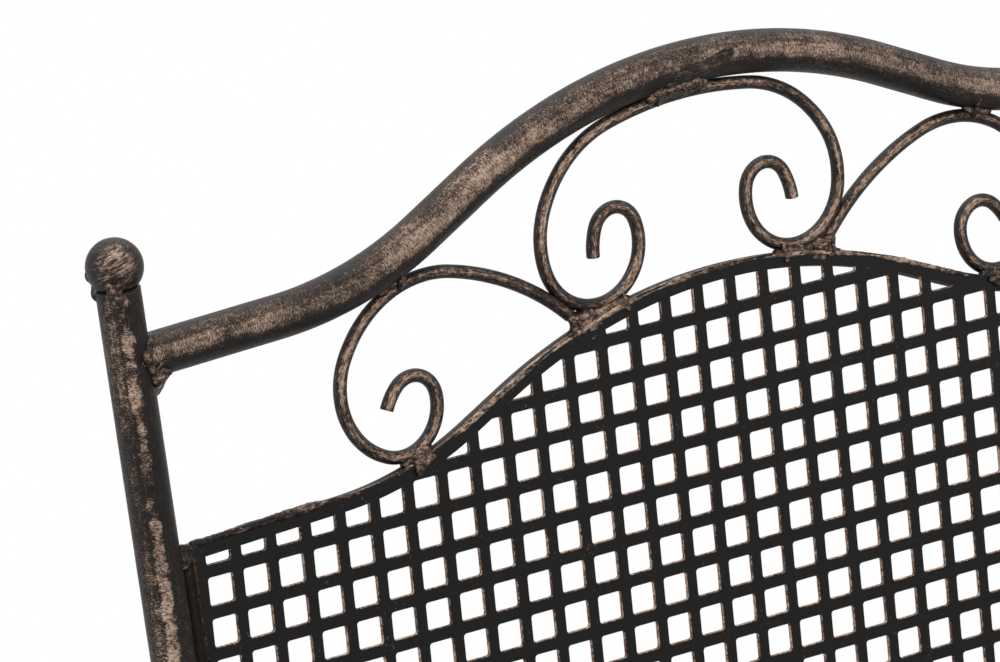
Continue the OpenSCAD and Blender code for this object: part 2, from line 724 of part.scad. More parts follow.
left_post();
right_post();
left_ball();
right_ball();
top_rail();
lower_back_rail();
panel_top_rod();
left_panel_rod();
right_panel_rod();
back_panel();
left_scroll();
centre_scroll();
right_scroll();
left_arm();
right_arm();
left_arm_scroll();
right_arm_scroll();
left_stretcher();
right_stretcher();
cross_stretcher();
seat_tube();
seat_rear_tube();
seat_panel();
left_seat_bar();
right_seat_bar();
front_left_cap();
front_right_cap();
rear_left_cap();
rear_right_cap();
seat_bolts();
seat_nuts();
seat_spacers();
saddle_washers();
arm_bolts();
arm_inserts();
stretcher_bolts();
stretcher_inserts();
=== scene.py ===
"""Garden armchair of welded tube, antique bronze over black brown. Metres and degrees, front towards -Y."""

import math
import random

import bpy
from bpy.props import FloatProperty, FloatVectorProperty, IntProperty, PointerProperty
from mathutils import Matrix, Vector


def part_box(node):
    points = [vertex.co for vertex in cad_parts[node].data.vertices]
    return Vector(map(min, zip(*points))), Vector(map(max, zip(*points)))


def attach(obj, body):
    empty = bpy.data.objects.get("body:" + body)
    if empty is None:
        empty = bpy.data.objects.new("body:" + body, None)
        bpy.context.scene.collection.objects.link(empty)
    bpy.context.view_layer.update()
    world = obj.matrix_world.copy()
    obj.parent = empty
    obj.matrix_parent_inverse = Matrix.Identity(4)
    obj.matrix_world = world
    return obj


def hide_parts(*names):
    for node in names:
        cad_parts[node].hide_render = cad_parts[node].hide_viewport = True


bl_info = {
    "name": "Garden armchair",
    "version": (1, 0, 0),
    "blender": (4, 5, 0),
    "location": "View3D > Sidebar > Chair",
    "description": "Dresses the frame of a garden armchair: tubes, scrolls, sheets, welds and finish",
    "category": "Object",
}

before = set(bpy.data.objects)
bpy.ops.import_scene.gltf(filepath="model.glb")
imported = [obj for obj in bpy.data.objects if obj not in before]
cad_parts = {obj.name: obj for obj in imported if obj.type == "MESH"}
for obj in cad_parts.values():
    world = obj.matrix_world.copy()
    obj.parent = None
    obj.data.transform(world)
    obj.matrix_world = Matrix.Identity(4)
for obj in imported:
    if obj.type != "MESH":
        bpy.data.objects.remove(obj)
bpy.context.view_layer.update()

# Driving sizes of the frame
BALL_LOW, BALL_HIGH = (Vector(corner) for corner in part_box("left_ball"))
BALL_CENTRE = (BALL_LOW + BALL_HIGH) / 2
BALL_D = BALL_HIGH.x - BALL_LOW.x
HALF_GAP = -BALL_CENTRE.x
SEAT_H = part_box("seat_panel")[1][2]
BACK_LEAN = 12.8
LEG_RAKE = 9
POST_BEND_R = 0.08
BEND_UP = 0.045
BALL_ABOVE_RAIL = 0.034
ARM_H = 0.648
ARM_BEND_R = 0.062
CAP_SOLE = 0.004
SEAT_GAP = 0.004
SEAT_CORNER_R = 0.05
BOLT_EDGE = 0.014
REAR_TUBE_AHEAD = 0.02
STRETCHER_H = 0.15

# Bent shapes, each step as (radius, turn)
RAIL_RISE = 0.048
RAIL_SLOPE = 25.7
RAIL_CREST_R = 0.215
RAIL_HOLLOW_R = 0.15
CENTRE_SCROLL = (
    (0.158, 12), (0.0465, 52), (0.033, 38.5), (0.0222, 86.5), (0.0207, 97), (0.0095, 139.5), (0.027, 23)
)
SIDE_SCROLL = ((0.107, 31), (0.044, 75), (0.0274, 96.5), (0.0171, 120), (0.0099, 126), (0.023, 22))
SIDE_SHOULDER_START = 165
SIDE_TOUCH = 17.9
PANEL_CREST_R = 0.225
PANEL_SLOPE = 24.5
PANEL_HOLLOW_R = 0.14
EDGE_OVER = 0.0036
BAND_TOP = 0.0034
BAND_UNDER = 0.0009
PANEL_SIDE_GAP = 0.012
SIDE_RIM = 0.002
LOWER_RAIL_UP = 0.022
PATTERN_X = -0.0131
PATTERN_DROP = 0.0207
ARM_SCROLL_R = 0.078
ARM_SCROLL_PAST = 28
ARM_SCROLL_END = ((0.03, 130), (0.013, 170))
SEAT_SHEET_OVER = 0.003
SEAT_RIM = 0.014
EDGE_WEAR = 0.0003
STRAIGHT_POINTS = 101

# Camera, as measured from the hole grid of the photograph
CAMERA_LENS = 270
CAMERA_AZIMUTH = -36.71
CAMERA_ELEVATION = 24.36
CAMERA_DISTANCE = 2.681
CAMERA_TARGET_X = -0.0931
CAMERA_TARGET_BELOW_RAIL = 0.02775
CAMERA_TARGET_AHEAD = 0.00375


def size_property(name, description, default):
    """A size that the panel shows in the scene's own units."""
    return FloatProperty(
        name=name, description=description, default=default, unit="LENGTH", subtype="DISTANCE"
    )


def colour_property(name, description, default):
    return FloatVectorProperty(
        name=name, description=description, default=default, size=3, subtype="COLOR"
    )


class ChairSizes(bpy.types.PropertyGroup):
    tube_d: size_property("Tube", "Diameter of posts, arms, top rail and seat tubes", 0.016)
    tube_wall: size_property("Tube wall", "Wall of the tubes", 0.0012)
    rod_d: size_property("Scroll rod", "Diameter of the scroll rods", 0.005)
    edge_rod_d: size_property("Edge rod", "Diameter of the rods behind the edge of the back panel", 0.006)
    lower_rail_d: size_property("Lower back rail", "Diameter of the lower back rail", 0.012)
    stretcher_d: size_property("Side stretcher", "Diameter of the side stretchers", 0.012)
    cross_d: size_property("Cross stretcher", "Diameter of the cross stretcher", 0.01)
    sheet_t: size_property("Sheet", "Thickness of the perforated sheets", 0.0015)
    hole_w: size_property("Hole", "Side of a square hole", 0.0102)
    hole_pitch: size_property("Pitch", "Distance from hole to hole", 0.015)
    hole_corner_r: size_property("Hole corner", "Radius of the corners of a hole", 0.0011)
    hole_bevel: size_property("Hole edge", "Width of the worn edge round a hole", 0.00025)
    pattern_turn: FloatProperty(
        name="Pattern turn", description="Turn of the hole pattern in the back panel",
        default=math.radians(-2.5), subtype="ANGLE",
    )
    unevenness: size_property("Unevenness", "How far the paint swells and sinks on tubes and rods", 0.00012)
    weld_voxel: size_property("Weld detail", "Size of the finest lump in a weld bead", 0.00032)
    seed: IntProperty(name="Seed", description="Seed of the lumps and beads", default=7)


class ChairFinish(bpy.types.PropertyGroup):
    coat: colour_property("Coat", "Black brown coat under the bronze", (0.0055, 0.0045, 0.0042))
    coat_warm: colour_property("Warm coat", "Reddish brown where the coat is thin", (0.055, 0.024, 0.016))
    bronze: colour_property("Bronze", "Rubbed bronze", (0.15, 0.085, 0.054))
    bronze_light: colour_property("Light bronze", "Bronze where it is rubbed most", (0.61, 0.445, 0.335))
    sheet_coat: colour_property("Sheet coat", "Coat on the face of the sheets", (0.0065, 0.0066, 0.0072))
    cap: colour_property("Caps", "Plastic of caps and spacers", (0.012, 0.012, 0.012))
    steel: colour_property("Bolts", "Blackened steel of the fasteners", (0.09, 0.078, 0.07))


# Bent shapes in a plane


def sind(angle):
    return math.sin(math.radians(angle))


def cosd(angle):
    return math.cos(math.radians(angle))


def centre_of(pose, step):
    side = math.copysign(1, step[1])
    return Vector((pose[0] - side * step[0] * sind(pose[2]), pose[1] + side * step[0] * cosd(pose[2])))


def advance(pose, step):
    """The pose after a step of (radius, turn) or (length, 0). A pose is (x, y, heading)."""
    if step[1] == 0:
        return pose[0] + step[0] * cosd(pose[2]), pose[1] + step[0] * sind(pose[2]), pose[2]
    centre = centre_of(pose, step)
    side = math.copysign(1, step[1])
    heading = pose[2] + step[1]
    return centre.x + side * step[0] * sind(heading), centre.y - side * step[0] * cosd(heading), heading


def walk(pose, steps):
    for step in steps:
        pose = advance(pose, step)
    return pose


def trail(pose, steps, spacing):
    """Points along a bent shape, about spacing apart, its two ends included."""
    points = [Vector(pose[:2])]
    for length, turn in steps:
        run = length if turn == 0 else length * math.radians(abs(turn))
        parts = max(1, round(run / spacing))
        for part in range(1, parts + 1):
            share = part / parts
            step = (length * share, 0) if turn == 0 else (length, turn * share)
            points.append(Vector(advance(pose, step)[:2]))
        pose = advance(pose, (length, turn))
    return points


def mirrored(steps):
    return tuple((size, -turn) for size, turn in steps)


def backwards(steps):
    return tuple(reversed(steps))


def turned_round(pose):
    return pose[0], pose[1], pose[2] + 180


class CrestCurve:
    """A crested curve from one post to the other, in the plane of the back."""

    def __init__(self, rise, slope, crest_r, hollow_r, straight=None):
        if straight is None:
            straight = (rise - (crest_r + hollow_r) * (1 - cosd(slope))) / sind(slope)
        self.slope, self.crest_r, self.hollow_r, self.straight = slope, crest_r, hollow_r, straight
        self.reach = (crest_r + hollow_r) * sind(slope) + straight * cosd(slope)
        self.rise = (crest_r + hollow_r) * (1 - cosd(slope)) + straight * sind(slope)

    def steps(self, off=0.0):
        flat = HALF_GAP - self.reach
        hollow = self.hollow_r - off
        return (
            (flat, 0), (hollow, self.slope), (self.straight, 0),
            (self.crest_r + off, -2 * self.slope),
            (self.straight, 0), (hollow, self.slope), (flat, 0),
        )


class ChairShape:
    """Every place that the pieces share, worked out from the driving sizes."""

    def __init__(self, sizes):
        self.s = sizes
        tube_r = sizes.tube_d / 2
        rod_r = sizes.rod_d / 2
        edge_r = sizes.edge_rod_d / 2
        self.tube_r, self.rod_r, self.edge_r = tube_r, rod_r, edge_r
        self.seat_z = SEAT_H - sizes.sheet_t - tube_r
        self.bend_z = self.seat_z + BEND_UP
        self.back_len = (BALL_CENTRE.z - self.bend_z) / cosd(BACK_LEAN)
        self.bend_y = BALL_CENTRE.y - self.back_len * sind(BACK_LEAN)
        bore_r = tube_r - sizes.tube_wall
        self.mouth_v = self.back_len - math.sqrt((BALL_D / 2) ** 2 - bore_r**2)
        self.front_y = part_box("seat_panel")[0][1] + SEAT_SHEET_OVER
        self.front_leg_y = self.front_y + SEAT_CORNER_R + BOLT_EDGE
        self.arm_scroll_y = self.front_leg_y + tube_r + rod_r + ARM_SCROLL_R
        self.arm_scroll_z = ARM_H - tube_r - rod_r - ARM_SCROLL_R
        self.seat_side_x = HALF_GAP - sizes.tube_d - SEAT_GAP
        self.seat_bolt_y = self.leg_y(self.seat_z)
        self.seat_rear_y = self.seat_bolt_y - REAR_TUBE_AHEAD
        self.stretcher_end_y = self.leg_y(STRETCHER_H)
        self.rail_v = self.back_len - BALL_ABOVE_RAIL
        self.crest_v = self.rail_v + RAIL_RISE
        self.up = self.back(0, 1) - self.back(0, 0)
        self.rail = CrestCurve(RAIL_RISE, RAIL_SLOPE, RAIL_CREST_R, RAIL_HOLLOW_R)
        self.centre_start = (0, self.crest_v - tube_r - rod_r, 180)
        self.place_side_scroll()
        self.place_panel()
        self.leg_len = (self.bend_z - CAP_SOLE) / cosd(LEG_RAKE)
        self.post_foot = (self.leg_y(CAP_SOLE), CAP_SOLE, 90 + LEG_RAKE)

    def leg_y(self, z):
        return self.bend_y + (self.bend_z - z) * math.tan(math.radians(LEG_RAKE))

    def back_y(self, z):
        return self.bend_y + (z - self.bend_z) * math.tan(math.radians(BACK_LEAN))

    def back(self, x, v, n=0.0):
        """The point x across, v up the back and n in front of the middle of the posts."""
        return Vector((
            x,
            self.bend_y + v * sind(BACK_LEAN) - n * cosd(BACK_LEAN),
            self.bend_z + v * cosd(BACK_LEAN) + n * sind(BACK_LEAN),
        ))

    def on_back(self, points):
        """Takes (x, v) points into the plane of the posts."""
        return [self.back(p.x, p.y) for p in points]

    def back_line(self, start, end, count):
        """Evenly spaced points from one (x, v, n) to another."""
        first, last = self.back(*start), self.back(*end)
        return [first + (last - first) * (k / (count - 1)) for k in range(count)]

    def back_matrix(self, n=0.0):
        """Takes a drawing in X and Y into the plane of the back, with its +Z towards the front."""
        turn = Matrix.Rotation(math.radians(90 - BACK_LEAN), 4, "X")
        return Matrix.Translation(self.back(0, 0, n)) @ turn

    def place_side_scroll(self):
        """The shoulder of the side scroll touches the hollow of the rail."""
        long_r, shoulder_r = SIDE_SCROLL[0][0], SIDE_SCROLL[1][0]
        reach = RAIL_HOLLOW_R + self.tube_r + self.rod_r + shoulder_r
        x = -self.rail.reach + reach * sind(SIDE_TOUCH)
        v = self.rail_v + RAIL_HOLLOW_R - reach * cosd(SIDE_TOUCH)
        fold = long_r - shoulder_r
        heading = SIDE_SHOULDER_START - SIDE_SCROLL[0][1]
        self.side_start = (
            x - fold * sind(SIDE_SHOULDER_START) + long_r * sind(heading),
            v + fold * cosd(SIDE_SHOULDER_START) - long_r * cosd(heading),
            heading,
        )

    def place_panel(self):
        """The top rod of the panel touches the feet of the three scrolls."""
        touch = self.rod_r + self.edge_r
        peaks = []
        for index in (3, 4):
            centre = centre_of(walk(self.centre_start, CENTRE_SCROLL[:index]), CENTRE_SCROLL[index])
            gap = PANEL_CREST_R + CENTRE_SCROLL[index][0] + touch
            peaks.append(centre.y + PANEL_CREST_R - math.sqrt(gap**2 - centre.x**2))
        self.panel_peak = min(peaks)
        foot = centre_of(walk(self.side_start, SIDE_SCROLL[:3]), SIDE_SCROLL[3])
        both = PANEL_CREST_R + PANEL_HOLLOW_R
        hollow = Vector((
            -both * sind(PANEL_SLOPE), self.panel_peak - PANEL_CREST_R + both * cosd(PANEL_SLOPE)
        ))
        gap = hollow - foot
        along = gap.dot(Vector((-cosd(PANEL_SLOPE), -sind(PANEL_SLOPE))))
        free = PANEL_HOLLOW_R - SIDE_SCROLL[3][0] - touch
        straight = -along - math.sqrt(along**2 - gap.length_squared + free**2)
        self.panel = CrestCurve(0, PANEL_SLOPE, PANEL_CREST_R, PANEL_HOLLOW_R, straight)
        self.panel_side_v = self.panel_peak - self.panel.rise


def shape():
    return ChairShape(bpy.context.scene.chair_sizes)


# Building blocks


class Tree:
    """A node tree with named inputs, for meshes or for materials."""

    def __init__(self, group):
        self.group = group

    @classmethod
    def geometry(cls, name, inputs):
        group = bpy.data.node_groups.new(name, "GeometryNodeTree")
        group.interface.new_socket("Geometry", in_out="INPUT", socket_type="NodeSocketGeometry")
        for label, kind, value in inputs:
            socket = group.interface.new_socket(label, in_out="INPUT", socket_type="NodeSocket" + kind)
            if value is not None:
                socket.default_value = value
        group.interface.new_socket("Geometry", in_out="OUTPUT", socket_type="NodeSocketGeometry")
        tree = cls(group)
        tree.input = group.nodes.new("NodeGroupInput").outputs
        tree.output = group.nodes.new("NodeGroupOutput").inputs[0]
        return tree

    def add(self, kind, settings=None, **sockets):
        """A new node. Sockets are given by name, with _ for a space, as a value or as an output to link."""
        node = self.group.nodes.new(kind)
        for key, value in (settings or {}).items():
            setattr(node, key, value)
        for key, value in sockets.items():
            self.put(node, key.replace("_", " "), value)
        return node

    def put(self, node, name, value):
        """Sets or links an input, given by its number or by the name of an enabled socket."""
        if isinstance(name, int):
            target = node.inputs[name]
        else:
            target = next(s for s in node.inputs if s.name == name and s.enabled)
        if isinstance(value, bpy.types.NodeSocket):
            self.group.links.new(value, target)
        else:
            target.default_value = value

    def math(self, operation, a, b=None):
        node = self.group.nodes.new("ShaderNodeMath")
        node.operation = operation
        self.put(node, 0, a)
        if b is not None:
            self.put(node, 1, b)
        return node.outputs[0]

    def plus_share(self, value, other, share):
        """value + other * share"""
        return self.math("ADD", value, self.math("MULTIPLY", other, share))

    def vector(self, operation, a, b=None, scale=None):
        node = self.group.nodes.new("ShaderNodeVectorMath")
        node.operation = operation
        self.put(node, 0, a)
        if b is not None:
            self.put(node, 1, b)
        if scale is not None:
            self.put(node, 3, scale)
        return node.outputs["Value" if operation in ("DOT_PRODUCT", "LENGTH") else "Vector"]

    def smooth_step(self, value, low, high):
        """0 up to low, 1 from high on, and a soft rise between them."""
        node = self.add(
            "ShaderNodeMapRange", {"interpolation_type": "SMOOTHSTEP"},
            Value=value, From_Min=low, From_Max=high,
        )
        return node.outputs[0]

    def noise(self, place, scale, detail=2.0, rough=0.5, seed=0.0):
        node = self.add(
            "ShaderNodeTexNoise", {"noise_dimensions": "4D"},
            Vector=place, Scale=scale, Detail=detail, Roughness=rough, W=seed,
        )
        return node.outputs["Fac"]

    def sway(self, place, scale, detail=2.0, rough=0.5, seed=0.0):
        """Noise about 0, half as much to each side."""
        return self.math("SUBTRACT", self.noise(place, scale, detail, rough, seed), 0.5)


def run_tree(tree, mesh, values):
    """Runs a geometry tree on a mesh and returns the result as a plain mesh."""
    carrier = bpy.data.objects.new("carrier", mesh)
    bpy.context.scene.collection.objects.link(carrier)
    modifier = carrier.modifiers.new("build", "NODES")
    modifier.node_group = tree.group
    for item in tree.group.interface.items_tree:
        if item.in_out == "INPUT" and item.name in values:
            modifier[item.identifier] = values[item.name]
    depsgraph = bpy.context.evaluated_depsgraph_get()
    result = bpy.data.meshes.new_from_object(carrier.evaluated_get(depsgraph))
    bpy.data.objects.remove(carrier)
    if not len(result.polygons):
        raise RuntimeError("the tree " + tree.group.name + " made no faces")
    return result


def finish_piece(name, mesh, replaces=(), sharp=35):
    """Turns a mesh into a finished piece that rides with the chair."""
    mesh.name = name
    mesh.set_sharp_from_angle(angle=math.radians(sharp))
    piece = bpy.data.objects.new(name, mesh)
    bpy.context.scene.collection.objects.link(piece)
    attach(piece, "root")
    if replaces:
        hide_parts(*replaces)


def path_mesh(points, swell):
    """A chain of edges through the points, with how far the tube swells at each."""
    mesh = bpy.data.meshes.new("path")
    mesh.from_pydata([tuple(p) for p in points], [(k, k + 1) for k in range(len(points) - 1)], [])
    attribute = mesh.attributes.new("swell", "FLOAT", "POINT")
    attribute.data.foreach_set("value", swell)
    return mesh


def rounded_ends(points, radius, round_by):
    """The path with extra points at both ends, and the swell that rounds the cut ends over."""
    first = (points[1] - points[0]).normalized()
    last = (points[-1] - points[-2]).normalized()
    cuts = (0.0, 0.3, 0.65, 1.0)
    start = [points[0] + first * round_by * cut for cut in cuts]
    end = [points[-1] - last * round_by * cut for cut in reversed(cuts)]
    swell = [1 - round_by / radius * (1 - math.sqrt(1 - (1 - cut) ** 2)) for cut in cuts]
    middle = [
        p for p in points[1:-1]
        if (p - points[0]).length > 1.5 * round_by and (p - points[-1]).length > 1.5 * round_by
    ]
    return start + middle + end, swell + [1.0] * len(middle) + swell[::-1]


def bent_tube_tree():
    """Sweeps a round section along a path and lets the paint swell and sink on it."""
    tree = Tree.geometry("bent_tube", (
        ("Diameter", "Float", 0.016),
        ("Sides", "Int", 48),
        ("Lump", "Float", 0.0001),
        ("Lump Length", "Float", 0.008),
        ("Seed", "Float", 0.0),
        ("Material", "Material", None),
    ))
    given = tree.input
    curve = tree.add("GeometryNodeMeshToCurve", Mesh=given["Geometry"])
    length = tree.add("GeometryNodeSplineParameter").outputs["Length"]
    along = tree.add("GeometryNodeCaptureAttribute", {"domain": "POINT"}, Geometry=curve.outputs[0])
    along.capture_items.new("FLOAT", "Along")
    tree.put(along, "Along", length)
    radius = tree.math("MULTIPLY", given["Diameter"], 0.5)
    circle = tree.add("GeometryNodeCurvePrimitiveCircle", Resolution=given["Sides"], Radius=radius)
    factor = tree.add("GeometryNodeSplineParameter").outputs["Factor"]
    around = tree.add("GeometryNodeCaptureAttribute", {"domain": "POINT"}, Geometry=circle.outputs[0])
    around.capture_items.new("FLOAT", "Around")
    tree.put(around, "Around", factor)
    swell = tree.add("GeometryNodeInputNamedAttribute", {"data_type": "FLOAT"}, Name="swell")
    swept = tree.add(
        "GeometryNodeCurveToMesh",
        Curve=along.outputs["Geometry"], Profile_Curve=around.outputs["Geometry"],
        Scale=swell.outputs["Attribute"], Fill_Caps=True,
    )
    angle = tree.math("MULTIPLY", around.outputs["Around"], 2 * math.pi)
    unrolled = tree.add(
        "ShaderNodeCombineXYZ",
        X=tree.math("MULTIPLY", tree.math("COSINE", angle), radius),
        Y=tree.math("MULTIPLY", tree.math("SINE", angle), radius),
        Z=along.outputs["Along"],
    )
    stored = tree.add(
        "GeometryNodeStoreNamedAttribute", {"data_type": "FLOAT_VECTOR", "domain": "POINT"},
        Geometry=swept.outputs[0], Name="unrolled", Value=unrolled.outputs[0],
    )
    place = tree.add("GeometryNodeInputPosition").outputs[0]
    lump = tree.sway(place, tree.math("DIVIDE", 1.0, given["Lump Length"]), seed=given["Seed"])
    uneven = raised(tree, stored.outputs[0], tree.math("MULTIPLY", lump, given["Lump"]))
    close_tree(tree, uneven, given["Material"])
    return tree


def raised(tree, geometry, rise):
    """The surface moved outwards by rise."""
    normal = tree.add("GeometryNodeInputNormal").outputs[0]
    offset = tree.vector("SCALE", normal, scale=rise)
    return tree.add("GeometryNodeSetPosition", Geometry=geometry, Offset=offset).outputs[0]


def close_tree(tree, geometry, material, smooth=True):
    shaded = tree.add("GeometryNodeSetShadeSmooth", Geometry=geometry, Shade_Smooth=smooth)
    real = tree.add("GeometryNodeRealizeInstances", Geometry=shaded.outputs[0])
    painted = tree.add("GeometryNodeSetMaterial", Geometry=real.outputs[0], Material=material)
    tree.group.links.new(painted.outputs[0], tree.output)


def weld_tree():
    """Melts drops of weld metal together and wrinkles their skin."""
    tree = Tree.geometry("weld_bead", (
        ("Voxel", "Float", 0.0003),
        ("Melt", "Int", 3),
        ("Wrinkle", "Float", 0.0004),
        ("Wrinkle Length", "Float", 0.0016),
        ("Seed", "Float", 0.0),
        ("Material", "Material", None),
    ))
    given = tree.input
    size = tree.add("GeometryNodeInputNamedAttribute", {"data_type": "FLOAT"}, Name="drop")
    drops = tree.add("GeometryNodeMeshToPoints", Mesh=given["Geometry"], Radius=size.outputs["Attribute"])
    radius = tree.add("GeometryNodeInputRadius")
    cloud = tree.add(
        "GeometryNodePointsToVolume", {"resolution_mode": "VOXEL_SIZE"},
        Points=drops.outputs[0], Density=1.0, Voxel_Size=given["Voxel"], Radius=radius.outputs[0],
    )
    skin = tree.add("GeometryNodeVolumeToMesh", Volume=cloud.outputs[0], Threshold=0.1, Adaptivity=0.0)
    place = tree.add("GeometryNodeInputPosition").outputs[0]
    melted = tree.add(
        "GeometryNodeBlurAttribute", {"data_type": "FLOAT_VECTOR"}, Value=place, Iterations=given["Melt"]
    )
    soft = tree.add("GeometryNodeSetPosition", Geometry=skin.outputs[0], Position=melted.outputs[0])
    wave = tree.sway(place, tree.math("DIVIDE", 1.0, given["Wrinkle Length"]), 3.0, 0.6, given["Seed"])
    wrinkled = raised(tree, soft.outputs[0], tree.math("MULTIPLY", wave, given["Wrinkle"]))
    close_tree(tree, wrinkled, given["Material"])
    return tree


def sheet_tree():
    """Lays punched and plain cells on a grid, closes the blank and cuts it to its outline."""
    tree = Tree.geometry("perforated_sheet", (
        ("Cell", "Object", None),
        ("Plain Cell", "Object", None),
        ("Border", "Object", None),
        ("Outline", "Object", None),
        ("Band", "Object", None),
        ("Turn", "Float", 0.0),
        ("Shift", "Vector", (0.0, 0.0, 0.0)),
        ("Material", "Material", None),
    ))
    given = tree.input
    punched = tree.add("GeometryNodeInputNamedAttribute", {"data_type": "BOOLEAN"}, Name="punched")
    parts = []
    for name, keep in (("Cell", True), ("Plain Cell", False)):
        select = punched.outputs["Attribute"]
        if not keep:
            turned = tree.add("FunctionNodeBooleanMath", {"operation": "NOT"})
            tree.put(turned, 0, select)
            select = turned.outputs[0]
        cell = tree.add("GeometryNodeObjectInfo", Object=given[name])
        parts.append(tree.add(
            "GeometryNodeInstanceOnPoints",
            Points=given["Geometry"], Selection=select, Instance=cell.outputs["Geometry"],
        ).outputs[0])
    parts.append(tree.add("GeometryNodeObjectInfo", Object=given["Border"]).outputs["Geometry"])
    joined = tree.group.nodes.new("GeometryNodeJoinGeometry")
    for part in parts:
        tree.group.links.new(part, joined.inputs[0])
    real = tree.add("GeometryNodeRealizeInstances", Geometry=joined.outputs[0])
    blank = tree.add("GeometryNodeMergeByDistance", Geometry=real.outputs[0], Distance=0.00002)
    turn = tree.add("ShaderNodeCombineXYZ", Z=given["Turn"])
    placed = tree.add(
        "GeometryNodeTransform",
        Geometry=blank.outputs[0], Translation=given["Shift"], Rotation=turn.outputs[0],
    )
    outline = tree.add("GeometryNodeObjectInfo", Object=given["Outline"])
    cut = tree.add("GeometryNodeMeshBoolean", {"operation": "INTERSECT", "solver": "MANIFOLD"})
    tree.group.links.new(placed.outputs[0], cut.inputs["Mesh 2"])
    tree.group.links.new(outline.outputs["Geometry"], cut.inputs["Mesh 2"])
    band = tree.add("GeometryNodeObjectInfo", Object=given["Band"])
    whole = tree.add("GeometryNodeMeshBoolean", {"operation": "UNION", "solver": "MANIFOLD"})
    tree.group.links.new(cut.outputs[0], whole.inputs["Mesh 2"])
    tree.group.links.new(band.outputs["Geometry"], whole.inputs["Mesh 2"])
    close_tree(tree, whole.outputs[0], given["Material"], smooth=False)
    return tree


TREES = {}


def tree_for(name):
    """Each tree is built once and shared."""
    makers = {"bent_tube": bent_tube_tree, "weld": weld_tree, "sheet": sheet_tree}
    if name not in TREES:
        TREES[name] = makers[name]()
    return TREES[name]


def bent_tube(points, diameter, material, sides, seed, round_by=0.0004):
    """A tube or rod along a path, as a plain mesh."""
    sizes = bpy.context.scene.chair_sizes
    return run_tree(tree_for("bent_tube"), path_mesh(*rounded_ends(points, diameter / 2, round_by)), {
        "Diameter": diameter,
        "Sides": sides,
        "Lump": sizes.unevenness,
        "Seed": float(sizes.seed + seed),
        "Material": finish_for(material),
    })


def mirror_mesh(mesh):
    """A copy of a mesh on the other side of the chair, with its faces still outwards."""
    copy = mesh.copy()
    copy.transform(Matrix.Scale(-1, 4, (1, 0, 0)))
    copy.flip_normals()
    return copy


# Finish

# Marks in the brushed bronze. A scale is about one over their length
DRIFT_SCALE = 15.0
PATCH_SCALE = 75.0
CLOUD_SCALE = 420.0
DRAWN_SCALE = 1300.0
STROKE_SHARE = 0.95
GRIT_SHARE = 0.5

# How the bronze lies on the coat
RUB_FROM = 0.02
RUB_COVER = 0.94
RUB_METAL = 0.25
COAT_ROUGH, GRIT_ROUGH, RUB_ROUGH = 0.32, 0.16, 0.12
COAT_SHINE, RUB_SHINE = 0.16, 0.2
STROKE_HEIGHT = 0.00018

# Where faces look, from the middle of the chair
FRONT_UP = (-0.3, -0.84, 0.45)
BEHIND = (0.45, 0.85, 0.28)
BEHIND_RUB = (BEHIND, 0.75, 0.98, 0.12)


def unrolled_coordinates(tree):
    return tree.add("ShaderNodeAttribute", {"attribute_name": "unrolled"}).outputs["Vector"]


def object_coordinates(tree):
    return tree.add("ShaderNodeTexCoord").outputs["Object"]


def facing(tree, direction):
    """How far a face looks towards a fixed direction of the chair, -1 to 1."""
    normal = tree.add("ShaderNodeNewGeometry").outputs["Normal"]
    return tree.vector("DOT_PRODUCT", normal, tuple(Vector(direction).normalized()))


def mix_colour(tree, share, a, b):
    node = tree.group.nodes.new("ShaderNodeMix")
    node.data_type = "RGBA"
    inputs = [s for s in node.inputs if s.enabled]
    for socket, value in zip(inputs, (share, a, b)):
        if isinstance(value, bpy.types.NodeSocket):
            tree.group.links.new(value, socket)
        else:
            socket.default_value = value if isinstance(value, float) else (*value, 1.0)
    return [s for s in node.outputs if s.enabled][0]


def new_material(name):
    material = bpy.data.materials.new(name)
    material.use_nodes = True
    tree = Tree(material.node_tree)
    for node in list(material.node_tree.nodes):
        if node.type != "OUTPUT_MATERIAL":
            material.node_tree.nodes.remove(node)
    shader = tree.add("ShaderNodeBsdfPrincipled")
    output = [n for n in material.node_tree.nodes if n.type == "OUTPUT_MATERIAL"][0]
    material.node_tree.links.new(shader.outputs[0], output.inputs["Surface"])
    return material, tree, shader


def brush_level(tree, place, across, scale):
    """Fine brush strokes that lie across a tube, mixed with grit, about 0 on average."""
    strokes = tree.noise(tree.vector("MULTIPLY", place, across), scale, 3.0, 0.7, seed=4.1)
    grit = tree.noise(place, 1.5 * scale, 2.0, 0.7, seed=7.7)
    mixed = tree.plus_share(tree.math("MULTIPLY", strokes, STROKE_SHARE), grit, GRIT_SHARE)
    return tree.math("SUBTRACT", mixed, (STROKE_SHARE + GRIT_SHARE) / 2), grit


def rub_band(tree, direction, start, full, wander):
    """Where the brush presses most: faces that look along a direction."""
    looks = tree.math("ADD", facing(tree, direction), wander)
    return tree.smooth_step(looks, start, full)


